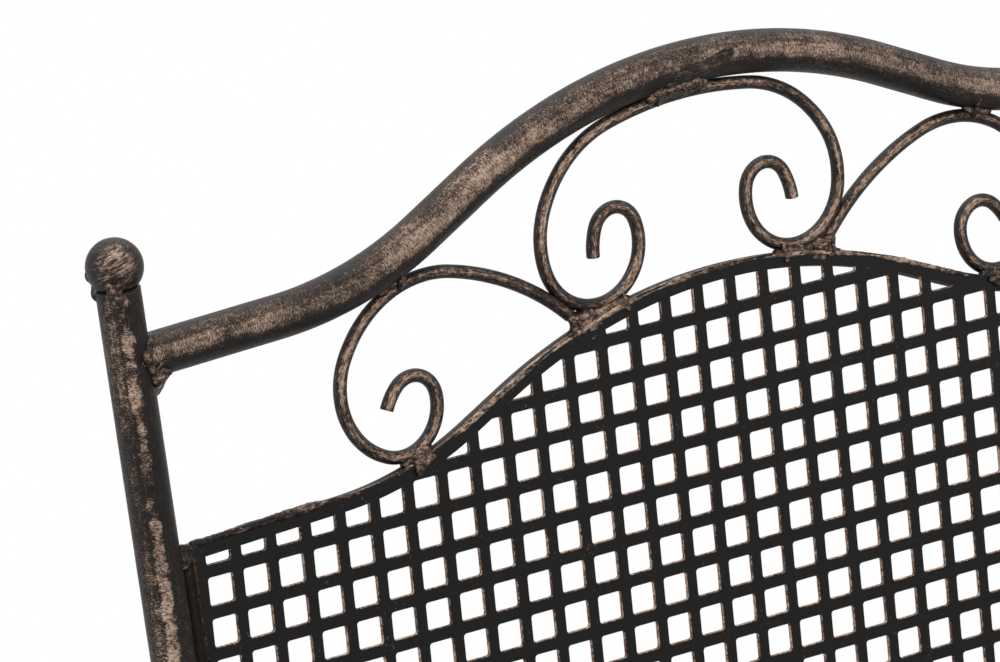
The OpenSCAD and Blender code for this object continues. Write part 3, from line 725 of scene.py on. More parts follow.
def antique_bronze(name, coordinates, bands, across=(0.3, 0.3, 1.0), scale=2900.0, all_over=-0.03,
                   streak=0.0, soft=0.16, mottle=0.3, relief=2.6):
    """Black brown coat with bronze dry brushed over it.

    A band is (direction, start, full, weight). Strokes are finer with a larger scale, and across
    stretches them. The bronze grows with all_over, breaks up with mottle and streak, and fades out
    over soft. Relief is how far the strokes stand up.
    """
    finish = bpy.context.scene.chair_finish
    material, tree, shader = new_material(name)
    place = coordinates(tree)
    drift = tree.sway(place, DRIFT_SCALE, 1.0, 0.5, seed=3.7)
    patch = tree.sway(place, PATCH_SCALE, 2.0, 0.55, seed=1.3)
    cloud = tree.sway(place, CLOUD_SCALE, 3.0, 0.7, seed=2.9)
    drawn = tree.sway(tree.vector("MULTIPLY", place, (1.0, 1.0, 0.08)), DRAWN_SCALE, 3.0, 0.65, seed=5.2)
    level, grit = brush_level(tree, place, across, scale)
    wander = tree.plus_share(tree.math("MULTIPLY", patch, 0.22), cloud, 0.1)
    for direction, start, full, weight in bands:
        level = tree.plus_share(level, rub_band(tree, direction, start, full, wander), weight)
    for layer, share in ((patch, 0.8 * mottle), (cloud, mottle), (drawn, streak), (drift, 1.1 * mottle)):
        level = tree.plus_share(level, layer, share)
    level = tree.math("ADD", level, all_over)
    rubbed = tree.smooth_step(level, RUB_FROM, RUB_FROM + soft)
    glint = tree.smooth_step(level, 0.5 * soft, 0.08 + 1.3 * soft)
    warm = tree.smooth_step(tree.plus_share(drawn, cloud, 0.5), 0.0, 0.26)
    base = mix_colour(tree, tree.math("MULTIPLY", warm, 0.6), tuple(finish.coat), tuple(finish.coat_warm))
    metal = mix_colour(tree, glint, tuple(finish.bronze), tuple(finish.bronze_light))
    tree.put(shader, "Base Color", mix_colour(tree, tree.math("MULTIPLY", rubbed, RUB_COVER), base, metal))
    tree.put(shader, "Metallic", tree.math("MULTIPLY", rubbed, RUB_METAL))
    rough = tree.plus_share(COAT_ROUGH, grit, GRIT_ROUGH)
    tree.put(shader, "Roughness", tree.plus_share(rough, rubbed, RUB_ROUGH))
    tree.put(shader, "Specular IOR Level", tree.plus_share(COAT_SHINE, rubbed, RUB_SHINE))
    height = tree.plus_share(tree.math("MULTIPLY", rubbed, 0.5), level, relief)
    bump = tree.add("ShaderNodeBump", Strength=0.8, Distance=STROKE_HEIGHT, Height=height)
    tree.put(shader, "Normal", bump.outputs[0])
    return material


def sheet_finish():
    """Nearly black face, and round each hole a bronze line and brown walls, partly wear of the bronze and
    partly painted highlight for the light that hole edges and walls catch.
    """
    finish = bpy.context.scene.chair_finish
    material, tree, shader = new_material("sheet_finish")
    place = object_coordinates(tree)
    patch = tree.sway(place, 60.0, 2.0, 0.5, seed=3.0)
    cloud = tree.sway(place, 300.0, 3.0, 0.6, seed=9.0)
    level, grit = brush_level(tree, place, (1.0, 1.0, 0.45), 1700.0)
    worn_and_highlit, wall = (
        tree.add("ShaderNodeAttribute", {"attribute_name": name}).outputs["Fac"]
        for name in ("worn_and_highlit", "wall")
    )
    # Bronze on the hole edges and walls: partly wear, partly painted highlight for the light they catch.
    for layer, share in ((patch, 0.35), (cloud, 0.45), (worn_and_highlit, 0.27), (wall, 0.25)):
        level = tree.plus_share(level, layer, share)
    rubbed = tree.smooth_step(level, 0.17, 0.29)
    glint = tree.smooth_step(level, 0.2, 0.44)
    # Warm brown on the hole walls: partly their coat, partly painted highlight.
    base = mix_colour(tree, wall, tuple(finish.sheet_coat), tuple(1.1 * c for c in finish.coat_warm))
    metal = mix_colour(tree, glint, tuple(finish.bronze), tuple(finish.bronze_light))
    tree.put(shader, "Base Color", mix_colour(tree, tree.math("MULTIPLY", rubbed, 0.85), base, metal))
    tree.put(shader, "Metallic", tree.math("MULTIPLY", rubbed, 0.2))
    tree.put(shader, "Roughness", tree.plus_share(0.4, grit, 0.2))
    tree.put(shader, "Specular IOR Level", 0.12)
    height = tree.math("MULTIPLY", level, 2.0)
    bump = tree.add("ShaderNodeBump", Strength=0.5, Distance=0.00012, Height=height)
    tree.put(shader, "Normal", bump.outputs[0])
    return material


def plain_finish(name, colour, rough, metallic, grain):
    """A plastic or steel finish with a fine grain."""
    material, tree, shader = new_material(name)
    place = object_coordinates(tree)
    grit = tree.noise(place, grain, 3.0, 0.6, seed=2.0)
    dark, pale = (tuple(part * share for part in colour) for share in (0.7, 1.25))
    tree.put(shader, "Base Color", mix_colour(tree, grit, dark, pale))
    tree.put(shader, "Metallic", metallic)
    tree.put(shader, "Roughness", tree.plus_share(rough, grit, 0.2))
    bump = tree.add("ShaderNodeBump", Strength=0.3, Distance=0.0001, Height=grit)
    tree.put(shader, "Normal", bump.outputs[0])
    return material


MATERIALS = {}


def antique_finishes():
    """How each kind of tube, rod and bead is rubbed, as the arguments of antique_bronze."""
    post_rubs = (
        ((-0.42, -0.9, 0.1), 0.94, 0.99, 0.17), ((-0.6, -0.8, 0.1), 0.75, 0.98, 0.08),
        ((-0.97, -0.24, 0.05), 0.86, 0.98, 0.06), BEHIND_RUB,
    )
    rail_rubs = (
        ((-0.22, -0.89, 0.39), 0.87, 0.98, 0.09), ((-0.25, -0.7, 0.67), 0.55, 0.95, 0.15), BEHIND_RUB,
    )
    tube_rubs = ((FRONT_UP, 0.88, 0.98, 0.11), (FRONT_UP, 0.6, 0.97, 0.11), BEHIND_RUB)
    rod_rubs = ((FRONT_UP, 0.84, 0.98, 0.15), (FRONT_UP, 0.4, 0.95, 0.15), (BEHIND, 0.75, 0.98, 0.14))
    edge_rod_rubs = ((FRONT_UP, 0.9, 1.0, 0.02), (BEHIND, 0.75, 0.98, 0.14))
    ball_rubs = (
        ((-0.5, -0.62, 0.6), 0.5, 1.0, 0.16), ((-0.45, -0.8, 0.3), 0.3, 0.9, 0.08),
        (BEHIND, 0.6, 0.98, 0.12),
    )
    rod_strokes = {"across": (1.0, 1.0, 0.25), "scale": 1700.0}
    flow_strokes = {"across": (0.2, 0.7, 0.7), "scale": 1200.0}
    edge_strokes = {"across": (0.25, 0.7, 0.7), "scale": 1300.0}
    return {
        "post": (unrolled_coordinates, post_rubs, {"streak": 0.2, "soft": 0.2}),
        "rail": (unrolled_coordinates, rail_rubs, {"streak": 0.3, "soft": 0.25, "mottle": 0.24}),
        "tube": (unrolled_coordinates, tube_rubs, {"streak": 0.3, "soft": 0.22}),
        "scroll": (unrolled_coordinates, rod_rubs, {
            **rod_strokes, "streak": 0.3, "soft": 0.3, "mottle": 0.16}),
        "edge_rod": (unrolled_coordinates, edge_rod_rubs, {**rod_strokes, "all_over": -0.1}),
        "ball": (unrolled_coordinates, ball_rubs, {
            "across": (1.0, 1.0, 0.16), "scale": 1500.0, "soft": 0.26, "mottle": 0.4}),
        "weld": (object_coordinates, ((FRONT_UP, 0.35, 0.98, 0.2), BEHIND_RUB), {
            "across": (0.5, 0.5, 1.0), "scale": 900.0, "all_over": 0.0,
            "soft": 0.34, "mottle": 0.35, "relief": 0.5}),
        "edge_run": (object_coordinates, ((FRONT_UP, 0.1, 0.8, 0.2), BEHIND_RUB), {
            **edge_strokes, "all_over": 0.03, "soft": 0.3, "mottle": 0.6, "relief": 1.2}),
        "flow": (object_coordinates, ((FRONT_UP, 0.5, 0.98, 0.12),), {
            **flow_strokes, "soft": 0.35, "relief": 0.5}),
    }


def finish_for(name):
    """Each finish is made once and shared."""
    if name not in MATERIALS:
        finish = bpy.context.scene.chair_finish
        if name == "sheet":
            MATERIALS[name] = sheet_finish()
        elif name == "cap":
            MATERIALS[name] = plain_finish("cap_plastic", tuple(finish.cap), 0.45, 0.0, 900.0)
        elif name == "steel":
            MATERIALS[name] = plain_finish("bolt_steel", tuple(finish.steel), 0.3, 0.9, 1400.0)
        else:
            coordinates, rubs, brushed = antique_finishes()[name]
            MATERIALS[name] = antique_bronze(name + "_finish", coordinates, rubs, **brushed)
    return MATERIALS[name]


def paint_kept(nodes, finish):
    """Gives CAD nodes that stay their better finish."""
    for node in nodes:
        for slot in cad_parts[node].material_slots:
            slot.material = finish_for(finish)


# Pieces


def both_sides(name, mesh):
    """A left piece and its mirror on the right, each standing for its node."""
    for side in ("left", "right"):
        data = mesh if side == "left" else mirror_mesh(mesh)
        finish_piece(f"{side}_{name}_shell", data, (f"{side}_{name}",))


def in_side_plane(points):
    """Takes (y, z) points into the plane of the left post."""
    return [Vector((-HALF_GAP, p.x, p.y)) for p in points]


def at_height(points, z):
    return [Vector((p.x, p.y, z)) for p in points]


class CHAIR_OT_posts(bpy.types.Operator):
    """Two back posts, each one tube from its foot to the mouth under its ball"""

    bl_idname = "chair.posts"
    bl_label = "Back posts"

    def execute(self, context):
        c = shape()
        tangent = POST_BEND_R * math.tan(math.radians((LEG_RAKE + BACK_LEAN) / 2))
        steps = (
            (c.leg_len - tangent, 0), (POST_BEND_R, -LEG_RAKE - BACK_LEAN), (c.mouth_v - tangent, 0)
        )
        points = in_side_plane(trail(c.post_foot, steps, spacing=0.0025))
        mesh = bent_tube(points, c.s.tube_d, "post", sides=56, seed=1, round_by=0.0005)
        both_sides("post", mesh)
        return {"FINISHED"}


class CHAIR_OT_balls(bpy.types.Operator):
    """Two ball finials"""

    bl_idname = "chair.balls"
    bl_label = "Ball finials"

    def execute(self, context):
        rings, sides = 40, 64
        radius = BALL_D / 2
        brushed_along = Vector((-0.35, 0.25, 0.9)).to_track_quat("Z", "Y").to_matrix().transposed()
        points, strokes, faces = [], [], []
        for ring in range(rings + 1):
            tilt = 180 * ring / rings
            for side in range(1 if ring in (0, rings) else sides):
                angle = 360 * side / sides
                level_r = radius * sind(tilt)
                point = Vector((level_r * cosd(angle), level_r * sind(angle), radius * cosd(tilt)))
                points.append(point + BALL_CENTRE)
                local = brushed_along @ point
                strokes += [math.hypot(local.x, local.y), local.z, radius * math.atan2(local.y, local.x)]
        lowest = len(points) - 1
        for side in range(sides):
            following = (side + 1) % sides
            faces.append((0, 1 + side, 1 + following))
            faces.append((lowest, lowest - sides + following, lowest - sides + side))
            for a in range(1, lowest - sides, sides):
                b = a + sides
                faces.append((a + side, b + side, b + following, a + following))
        mesh = bpy.data.meshes.new("ball")
        mesh.from_pydata([tuple(p) for p in points], [], faces)
        attribute = mesh.attributes.new("unrolled", "FLOAT_VECTOR", "POINT")
        attribute.data.foreach_set("vector", strokes)
        mesh.shade_smooth()
        mesh.materials.append(finish_for("ball"))
        both_sides("ball", mesh)
        return {"FINISHED"}


class CHAIR_OT_top_rail(bpy.types.Operator):
    """The crested top rail between the posts"""

    bl_idname = "chair.top_rail"
    bl_label = "Top rail"

    def execute(self, context):
        c = shape()
        points = c.on_back(trail((-HALF_GAP, c.rail_v, 0), c.rail.steps(), spacing=0.002))
        mesh = bent_tube(points, c.s.tube_d, "rail", sides=64, seed=3)
        finish_piece("top_rail_shell", mesh, ("top_rail",))
        return {"FINISHED"}


class CHAIR_OT_panel_rods(bpy.types.Operator):
    """The rods behind the edge of the back panel, and the lower back rail"""

    bl_idname = "chair.panel_rods"
    bl_label = "Panel rods"

    def execute(self, context):
        c = shape()
        points = c.on_back(trail((-HALF_GAP, c.panel_side_v, 0), c.panel.steps(), spacing=0.0015))
        mesh = bent_tube(points, c.s.edge_rod_d, "edge_rod", sides=32, seed=5)
        finish_piece("panel_top_rod_shell", mesh, ("panel_top_rod",))
        x = -HALF_GAP + c.tube_r + c.edge_r
        points = c.back_line((x, LOWER_RAIL_UP, 0), (x, c.panel_side_v, 0), STRAIGHT_POINTS)
        mesh = bent_tube(points, c.s.edge_rod_d, "edge_rod", sides=24, seed=6)
        both_sides("panel_rod", mesh)
        n = c.edge_r - c.s.lower_rail_d / 2
        points = c.back_line((-HALF_GAP, LOWER_RAIL_UP, n), (HALF_GAP, LOWER_RAIL_UP, n), STRAIGHT_POINTS)
        mesh = bent_tube(points, c.s.lower_rail_d, "tube", sides=40, seed=7)
        finish_piece("lower_back_rail_shell", mesh, ("lower_back_rail",))
        return {"FINISHED"}


class CHAIR_OT_back_scrolls(bpy.types.Operator):
    """The three scrolls under the top rail"""

    bl_idname = "chair.back_scrolls"
    bl_label = "Back scrolls"

    def execute(self, context):
        c = shape()
        tip = walk(c.centre_start, CENTRE_SCROLL)
        outer = CENTRE_SCROLL[1:]
        arch_r, arch_turn = CENTRE_SCROLL[0]
        steps = mirrored(backwards(outer)) + ((arch_r, -2 * arch_turn),) + mirrored(outer)
        points = c.on_back(trail(turned_round(tip), steps, spacing=0.0012))
        mesh = bent_tube(points, c.s.rod_d, "scroll", sides=28, seed=9, round_by=0.0003)
        finish_piece("centre_scroll_shell", mesh, ("centre_scroll",))
        points = c.on_back(trail(c.side_start, SIDE_SCROLL, spacing=0.0012))
        mesh = bent_tube(points, c.s.rod_d, "scroll", sides=28, seed=11, round_by=0.0003)
        both_sides("scroll", mesh)
        return {"FINISHED"}


class CHAIR_OT_arms(bpy.types.Operator):
    """The two arms, each one tube with its front leg"""

    bl_idname = "chair.arms"
    bl_label = "Arms"

    def execute(self, context):
        c = shape()
        steps = (
            (ARM_H - CAP_SOLE - ARM_BEND_R, 0), (ARM_BEND_R, -90),
            (c.back_y(ARM_H) - c.front_leg_y - ARM_BEND_R, 0),
        )
        points = in_side_plane(trail((c.front_leg_y, CAP_SOLE, 90), steps, spacing=0.004))
        both_sides("arm", bent_tube(points, c.s.tube_d, "tube", sides=48, seed=13))
        return {"FINISHED"}


class CHAIR_OT_arm_scrolls(bpy.types.Operator):
    """The scrolls in the corners between the arms and the front legs"""

    bl_idname = "chair.arm_scrolls"
    bl_label = "Arm scrolls"

    def execute(self, context):
        c = shape()
        start = (
            c.arm_scroll_y - ARM_SCROLL_R * cosd(ARM_SCROLL_PAST),
            c.arm_scroll_z - ARM_SCROLL_R * sind(ARM_SCROLL_PAST),
            270 + ARM_SCROLL_PAST,
        )
        tip = walk(start, ARM_SCROLL_END)
        main = ((ARM_SCROLL_R, -90 - 2 * ARM_SCROLL_PAST),)
        steps = mirrored(backwards(ARM_SCROLL_END)) + main + mirrored(ARM_SCROLL_END)
        points = in_side_plane(trail(turned_round(tip), steps, spacing=0.002))
        mesh = bent_tube(points, c.s.rod_d, "scroll", sides=24, seed=15, round_by=0.0003)
        both_sides("arm_scroll", mesh)
        return {"FINISHED"}


class CHAIR_OT_stretchers(bpy.types.Operator):
    """The side stretchers and the cross stretcher"""

    bl_idname = "chair.stretchers"
    bl_label = "Stretchers"

    def execute(self, context):
        c = shape()
        length = c.stretcher_end_y - c.front_leg_y
        points = in_side_plane(trail((c.front_leg_y, STRETCHER_H, 0), ((length, 0),), spacing=0.005))
        mesh = bent_tube(points, c.s.stretcher_d, "tube", sides=40, seed=17)
        both_sides("stretcher", mesh)
        middle = c.front_leg_y + length / 2
        points = at_height(trail((-HALF_GAP, middle, 0), ((2 * HALF_GAP, 0),), spacing=0.005), STRETCHER_H)
        mesh = bent_tube(points, c.s.cross_d, "tube", sides=36, seed=18)
        finish_piece("cross_stretcher_shell", mesh, ("cross_stretcher",))
        return {"FINISHED"}


class CHAIR_OT_seat_frame(bpy.types.Operator):
    """The tube bent round the seat and the tube that closes it at the back"""

    bl_idname = "chair.seat_frame"
    bl_label = "Seat frame"

    def execute(self, context):
        c = shape()
        end_y = c.seat_bolt_y + BOLT_EDGE
        side = end_y - c.front_y - SEAT_CORNER_R
        front = 2 * (c.seat_side_x - SEAT_CORNER_R)
        steps = ((side, 0), (SEAT_CORNER_R, 90), (front, 0), (SEAT_CORNER_R, 90), (side, 0))
        points = at_height(trail((-c.seat_side_x, end_y, -90), steps, spacing=0.004), c.seat_z)
        mesh = bent_tube(points, c.s.tube_d, "tube", sides=48, seed=19)
        finish_piece("seat_tube_shell", mesh, ("seat_tube",))
        flat = trail((-c.seat_side_x, c.seat_rear_y, 0), ((2 * c.seat_side_x, 0),), spacing=0.005)
        mesh = bent_tube(at_height(flat, c.seat_z), c.s.tube_d, "tube", sides=48, seed=20)
        finish_piece("seat_rear_tube_shell", mesh, ("seat_rear_tube",))
        return {"FINISHED"}


# Perforated sheets


def square_ring(half, corner_r, z, cuts):
    """Points of a square with rounded corners, anticlockwise, each corner with the same count."""
    points = []
    flat = half - corner_r
    for quarter, (x, y) in enumerate(((1, 1), (-1, 1), (-1, -1), (1, -1))):
        for cut in range(cuts + 1):
            angle = 90 * quarter + 90 * cut / cuts
            points.append((x * flat + corner_r * cosd(angle), y * flat + corner_r * sind(angle), z))
    return points


def holder(name, points, faces):
    """An object that hands its mesh to a geometry tree."""
    mesh = bpy.data.meshes.new(name)
    mesh.from_pydata(points, [], faces)
    return bpy.data.objects.new(name, mesh)


def punched_cell(sizes):
    """One cell of the sheet: both faces, worn edges and the wall of its hole, open at its sides."""
    cuts = 4
    pitch, half, bevel = sizes.hole_pitch / 2, sizes.hole_w / 2, sizes.hole_bevel
    top, corner = sizes.sheet_t, sizes.hole_corner_r
    outer = [(pitch, pitch), (-pitch, pitch), (-pitch, -pitch), (pitch, -pitch)]
    rings = [
        square_ring(half + bevel, corner + bevel, top, cuts),
        square_ring(half, corner, top - bevel, cuts),
        square_ring(half, corner, bevel, cuts),
        square_ring(half + bevel, corner + bevel, 0, cuts),
    ]
    count = len(rings[0])
    points = [(x, y, top) for x, y in outer] + [(x, y, 0) for x, y in outer]
    first_ring = len(points)
    last_ring = first_ring + 3 * count
    for ring in rings:
        points += ring
    faces = []
    for quarter in range(4):
        first = quarter * (cuts + 1)
        after = (first + cuts + 1) % count
        follow = (quarter + 1) % 4
        for level, base, flip in ((0, first_ring, False), (4, last_ring, True)):
            corner_faces = [
                (level + quarter, base + first + cut + 1, base + first + cut) for cut in range(cuts)
            ]
            corner_faces.append((level + quarter, level + follow, base + after, base + first + cuts))
            faces += [tuple(reversed(f)) for f in corner_faces] if flip else corner_faces
    for a in range(first_ring, last_ring, count):
        b = a + count
        for index in range(count):
            following = (index + 1) % count
            faces.append((a + index, a + following, b + following, b + index))
    return holder("punched_cell", points, faces)


def wall_faces(count):
    """Faces between a loop of points and the same loop above it."""
    return [(i, (i + 1) % count, count + (i + 1) % count, count + i) for i in range(count)]


def plain_cell(sizes):
    pitch, top = sizes.hole_pitch / 2, sizes.sheet_t
    square = [(-pitch, -pitch), (pitch, -pitch), (pitch, pitch), (-pitch, pitch)]
    points = [(x, y, top) for x, y in square] + [(x, y, 0) for x, y in square]
    return holder("plain_cell", points, [(0, 1, 2, 3), (7, 6, 5, 4)])


def border_strip(sizes, columns, rows):
    """Walls round the whole blank, from cell corner to cell corner."""
    pitch = sizes.hole_pitch
    left, right = columns[0] - 0.5, columns[1] + 0.5
    low, high = rows[0] - 0.5, rows[1] + 0.5
    across, up = columns[1] - columns[0] + 1, rows[1] - rows[0] + 1
    corners = [(left + i, low) for i in range(across)] + [(right, low + j) for j in range(up)]
    corners += [(right - i, high) for i in range(across)] + [(left, high - j) for j in range(up)]
    points = [(x * pitch, y * pitch, z) for z in (0, sizes.sheet_t) for x, y in corners]
    count = len(corners)
    return holder("border_strip", points, wall_faces(count))


def outline_prism(name, outline, low, high):
    """An outline as a closed block from one height to another."""
    count = len(outline)
    points = [(p[0], p[1], z) for z in (low, high) for p in outline]
    floor, roof = tuple(range(count - 1, -1, -1)), tuple(range(count, 2 * count))
    return holder(name, points, [floor, roof] + wall_faces(count))


def perforated_sheet(outline, band, columns, rows, turn, shift, punch):
    """The sheet lying flat, its lower face at zero.

    punch(i, j) says which cells have a hole. In the band, an outline inside it, they are closed again.
    """
    sizes = bpy.context.scene.chair_sizes
    pitch = sizes.hole_pitch
    cells = [(i, j) for i in range(columns[0], columns[1] + 1) for j in range(rows[0], rows[1] + 1)]
    grid = bpy.data.meshes.new("grid")
    grid.from_pydata([(i * pitch, j * pitch, 0) for i, j in cells], [], [])
    punched = grid.attributes.new("punched", "BOOLEAN", "POINT")
    punched.data.foreach_set("value", [punch(i, j) for i, j in cells])
    helpers = {
        "Cell": punched_cell(sizes),
        "Plain Cell": plain_cell(sizes),
        "Border": border_strip(sizes, columns, rows),
        "Outline": outline_prism("outline", outline, -sizes.sheet_t, 2 * sizes.sheet_t),
        "Band": outline_prism("band", band, 0, sizes.sheet_t),
    }
    for helper in helpers.values():
        bpy.context.scene.collection.objects.link(helper)
    mesh = run_tree(tree_for("sheet"), grid, {
        **helpers, "Turn": turn, "Shift": shift, "Material": finish_for("sheet"),
    })
    for helper in helpers.values():
        bpy.data.objects.remove(helper)
    # Marks hole walls and edges, which the sheet finish lightens: partly wear, partly painted highlight.
    for name, low, high in (("wall", 0, 0.3), ("worn_and_highlit", 0.3, 0.95)):
        steepness = mesh.attributes.new(name, "FLOAT", "FACE")
        steepness.data.foreach_set("value", [float(low <= abs(f.normal.z) < high) for f in mesh.polygons])
    return mesh


class CHAIR_OT_back_panel(bpy.types.Operator):
    """The perforated sheet of the back, cut to the curve of its top rod"""

    bl_idname = "chair.back_panel"
    bl_label = "Back panel"

    def execute(self, context):
        c = shape()
        half_w = HALF_GAP - PANEL_SIDE_GAP
        side_v = c.panel_side_v + EDGE_OVER

        def curve(off, half):
            """The curve of the top rod, moved up by off, as far as half to each side."""
            flat = trail((-HALF_GAP, c.panel_side_v + off, 0), c.panel.steps(off), spacing=0.003)
            return [p for p in flat if abs(p.x) < half]

        rough = random.Random(c.s.seed)
        edge = [Vector((p.x, p.y - rough.uniform(0, EDGE_WEAR))) for p in curve(EDGE_OVER, half_w)]
        outline = [Vector((-half_w, LOWER_RAIL_UP)), Vector((half_w, LOWER_RAIL_UP))]
        outline += [Vector((half_w, side_v))] + edge[::-1] + [Vector((-half_w, side_v))]
        inner = half_w - SIDE_RIM
        band = curve(BAND_UNDER - c.edge_r, inner) + curve(BAND_TOP, inner)[::-1]
        shift = Vector((PATTERN_X, c.panel_peak - PATTERN_DROP, 0))
        pitch = c.s.hole_pitch
        columns = (-math.ceil(HALF_GAP / pitch) - 1, math.ceil(HALF_GAP / pitch) + 3)
        rows = (-math.ceil((c.panel_peak - LOWER_RAIL_UP) / pitch) - 1, 3)

        def punch(i, j):
            place = Matrix.Rotation(c.s.pattern_turn, 3, "Z") @ Vector((i * pitch, j * pitch, 0)) + shift
            inside = abs(place.x) < half_w - c.s.hole_w / 2 - SIDE_RIM
            return inside and place.y > LOWER_RAIL_UP + c.s.lower_rail_d / 2

        mesh = perforated_sheet(outline, band, columns, rows, c.s.pattern_turn, shift, punch)
        mesh.transform(c.back_matrix(c.edge_r))
        finish_piece("back_panel_sheet", mesh, ("back_panel",), 20)
        return {"FINISHED"}


class CHAIR_OT_seat_panel(bpy.types.Operator):
    """The perforated sheet of the seat, on its tubes"""

    bl_idname = "chair.seat_panel"
    bl_label = "Seat panel"

    def execute(self, context):
        c = shape()
        pitch, hole = c.s.hole_pitch, c.s.hole_w
        side_columns = math.floor((c.seat_side_x - SEAT_RIM - hole / 2) / pitch)
        hole_rows = math.floor((c.seat_rear_y - c.front_y - 2 * SEAT_RIM - hole) / pitch)
        first_y = (c.seat_rear_y + c.front_y - hole_rows * pitch) / 2
        corner = Vector((c.seat_side_x - SEAT_CORNER_R, c.front_y + SEAT_CORNER_R))

        def punch(i, j):
            if abs(i) > side_columns or not 0 <= j <= hole_rows:
                return False
            x, y = abs(i * pitch), first_y + j * pitch
            if y > corner.y or x < corner.x:
                return True
            return math.hypot(x - corner.x, corner.y - y) < SEAT_CORNER_R - SEAT_RIM - hole / 2

        wide = c.seat_side_x + SEAT_SHEET_OVER
        r = SEAT_CORNER_R + SEAT_SHEET_OVER
        front = c.front_y - SEAT_SHEET_OVER
        rear = c.seat_rear_y + SEAT_SHEET_OVER
        steps = ((rear - front - r, 0), (r, 90), (2 * (wide - r), 0), (r, 90), (rear - front - r, 0))
        outline = trail((-wide, rear, -90), steps, spacing=0.006)
        columns = (-side_columns - 3, side_columns + 3)
        rows = (-3, hole_rows + 3)
        rim_x, rim_low, rim_high = wide - 0.004, rear - 0.006, rear - 0.004
        rim = [(-rim_x, rim_low), (rim_x, rim_low), (rim_x, rim_high), (-rim_x, rim_high)]
        mesh = perforated_sheet(outline, rim, columns, rows, 0.0, Vector((0, first_y, 0)), punch)
        mesh.transform(Matrix.Translation((0, 0, SEAT_H - c.s.sheet_t)))
        finish_piece("seat_panel_sheet", mesh, ("seat_panel",), 20)
        return {"FINISHED"}


class CHAIR_OT_kept_parts(bpy.types.Operator):
    """Finishes for the bars, caps and fasteners that stay as they are"""

    bl_idname = "chair.kept_parts"
    bl_label = "Bars, caps and fasteners"

    def execute(self, context):
        paint_kept(("left_seat_bar", "right_seat_bar"), "weld")
        caps = ("front_left_cap", "front_right_cap", "rear_left_cap", "rear_right_cap")
        paint_kept((*caps, "seat_spacers"), "cap")
        bolts = ("seat_bolts", "arm_bolts", "stretcher_bolts")
        paint_kept((*bolts, "seat_nuts", "saddle_washers", "arm_inserts", "stretcher_inserts"), "steel")
        return {"FINISHED"}


# Welds, each a heap of drops that melt into one bead

ACROSS = Vector((1, 0, 0))
WELD_WRINKLE = 0.0002

# The run along the upper edge of the sheet
EDGE_RUN_SUNK = 0.0007
EDGE_RUN_INSIDE = 0.0004
EDGE_THICK_FROM = 0.16
EDGE_CREST_TO = 0.115


def share_past(value, start, length):
    """0 up to start, rising to 1 over a length."""
    return min(1.0, max(0.0, (value - start) / length))


def melt(name, drops, seed, finish="weld", melt_steps=10):
    """One weld bead from drops of (place, radius)."""
    sizes = bpy.context.scene.chair_sizes
    mesh = bpy.data.meshes.new(name)
    mesh.from_pydata([tuple(place) for place, radius in drops], [], [])
    attribute = mesh.attributes.new("drop", "FLOAT", "POINT")
    attribute.data.foreach_set("value", [radius for place, radius in drops])
    bead = run_tree(tree_for("weld"), mesh, {
        "Voxel": sizes.weld_voxel, "Melt": melt_steps, "Wrinkle": WELD_WRINKLE, "Seed": sizes.seed + seed,
        "Material": finish_for(finish),
    })
    finish_piece(name, bead, sharp=60)


def mirrored_drops(drops):
    return [(Vector((-place.x, place.y, place.z)), radius) for place, radius in drops]


def bead_line(points, radius, seed, scatter=0.35):
    """Drops along a line, uneven in size and place."""
    rng = random.Random(seed)
    drops = []
    for place in points:
        offset = Vector([rng.uniform(-1, 1) for axis in range(3)]) * radius * scatter
        drops.append((place + offset, radius * rng.uniform(0.75, 1.2)))
    return drops


def saddle_collar(centre, axis, tube_axis, tube_r, reach, radius, seed, count):
    """Drops where a tube of radius reach runs into the side of a tube of radius tube_r."""
    across = axis.orthogonal().normalized()
    other = axis.cross(across)
    sideways = tube_axis.normalized().cross(axis)
    points = []
    for index in range(count):
        direction = across * cosd(360 * index / count) + other * sind(360 * index / count)
        aside = min(1.0, abs(direction.dot(sideways)) * reach / tube_r)
        points.append(centre + direction * reach + axis * tube_r * math.sqrt(1 - aside**2))
    return bead_line(points, radius, seed)


def wedge(corner, across, down, count, radius, seed):
    """Drops that fill a triangle between a corner and the ends of two edges."""
    points = [
        corner + across * (a / count) + down * (d / count)
        for a in range(count + 1) for d in range(count + 1 - a)
    ]
    return bead_line(points, radius, seed, scatter=0.2)


def melt_both_sides(beads, first_seed=0):
    """Melts the (label, drops) of the left half, and their mirror on the right."""
    beads = list(beads)
    for name, seed_step in (("left", 1), ("right", -1)):
        for index, (label, drops) in enumerate(beads):
            placed = drops if name == "left" else mirrored_drops(drops)
            melt(f"{name}_{label}", placed, first_seed + 10 * index + seed_step)


def crest_weld(c):
    """The weld that holds the centre scroll under the crest of the rail."""
    v = c.crest_v - c.tube_r
    seam = c.back_line((-0.0135, v - 0.0008, 0.0024), (0.011, v - 0.0006, 0.0024), 20)
    fill = c.back_line((-0.0115, v + 0.0008, 0.0038), (0.0085, v + 0.001, 0.0038), 16)
    left_ridge = c.back_line((-0.011, v + 0.0014, 0.0052), (-0.0105, v - 0.0042, 0.0028), 8)
    right_ridge = c.back_line((0.0065, v + 0.0026, 0.0058), (0.0085, v - 0.004, 0.0028), 9)
    return (
        bead_line(seam + fill, 0.0021, seed=9, scatter=0.1)
        + bead_line(left_ridge, 0.0011, seed=10, scatter=0.2)
        + bead_line(right_ridge, 0.0011, seed=11, scatter=0.2)
    )


def crest_flow(c):
    """Paint and metal that ran from the crest weld along the front of the rail."""
    v = c.crest_v - c.tube_r
    low = c.back_line((-0.007, v + 0.0036, 0.0043), (0.019, v + 0.0066, 0.0057), 60)
    high = c.back_line((-0.003, v + 0.006, 0.0056), (0.021, v + 0.0086, 0.0059), 60)
    return [(place, 0.0027) for place in low + high]


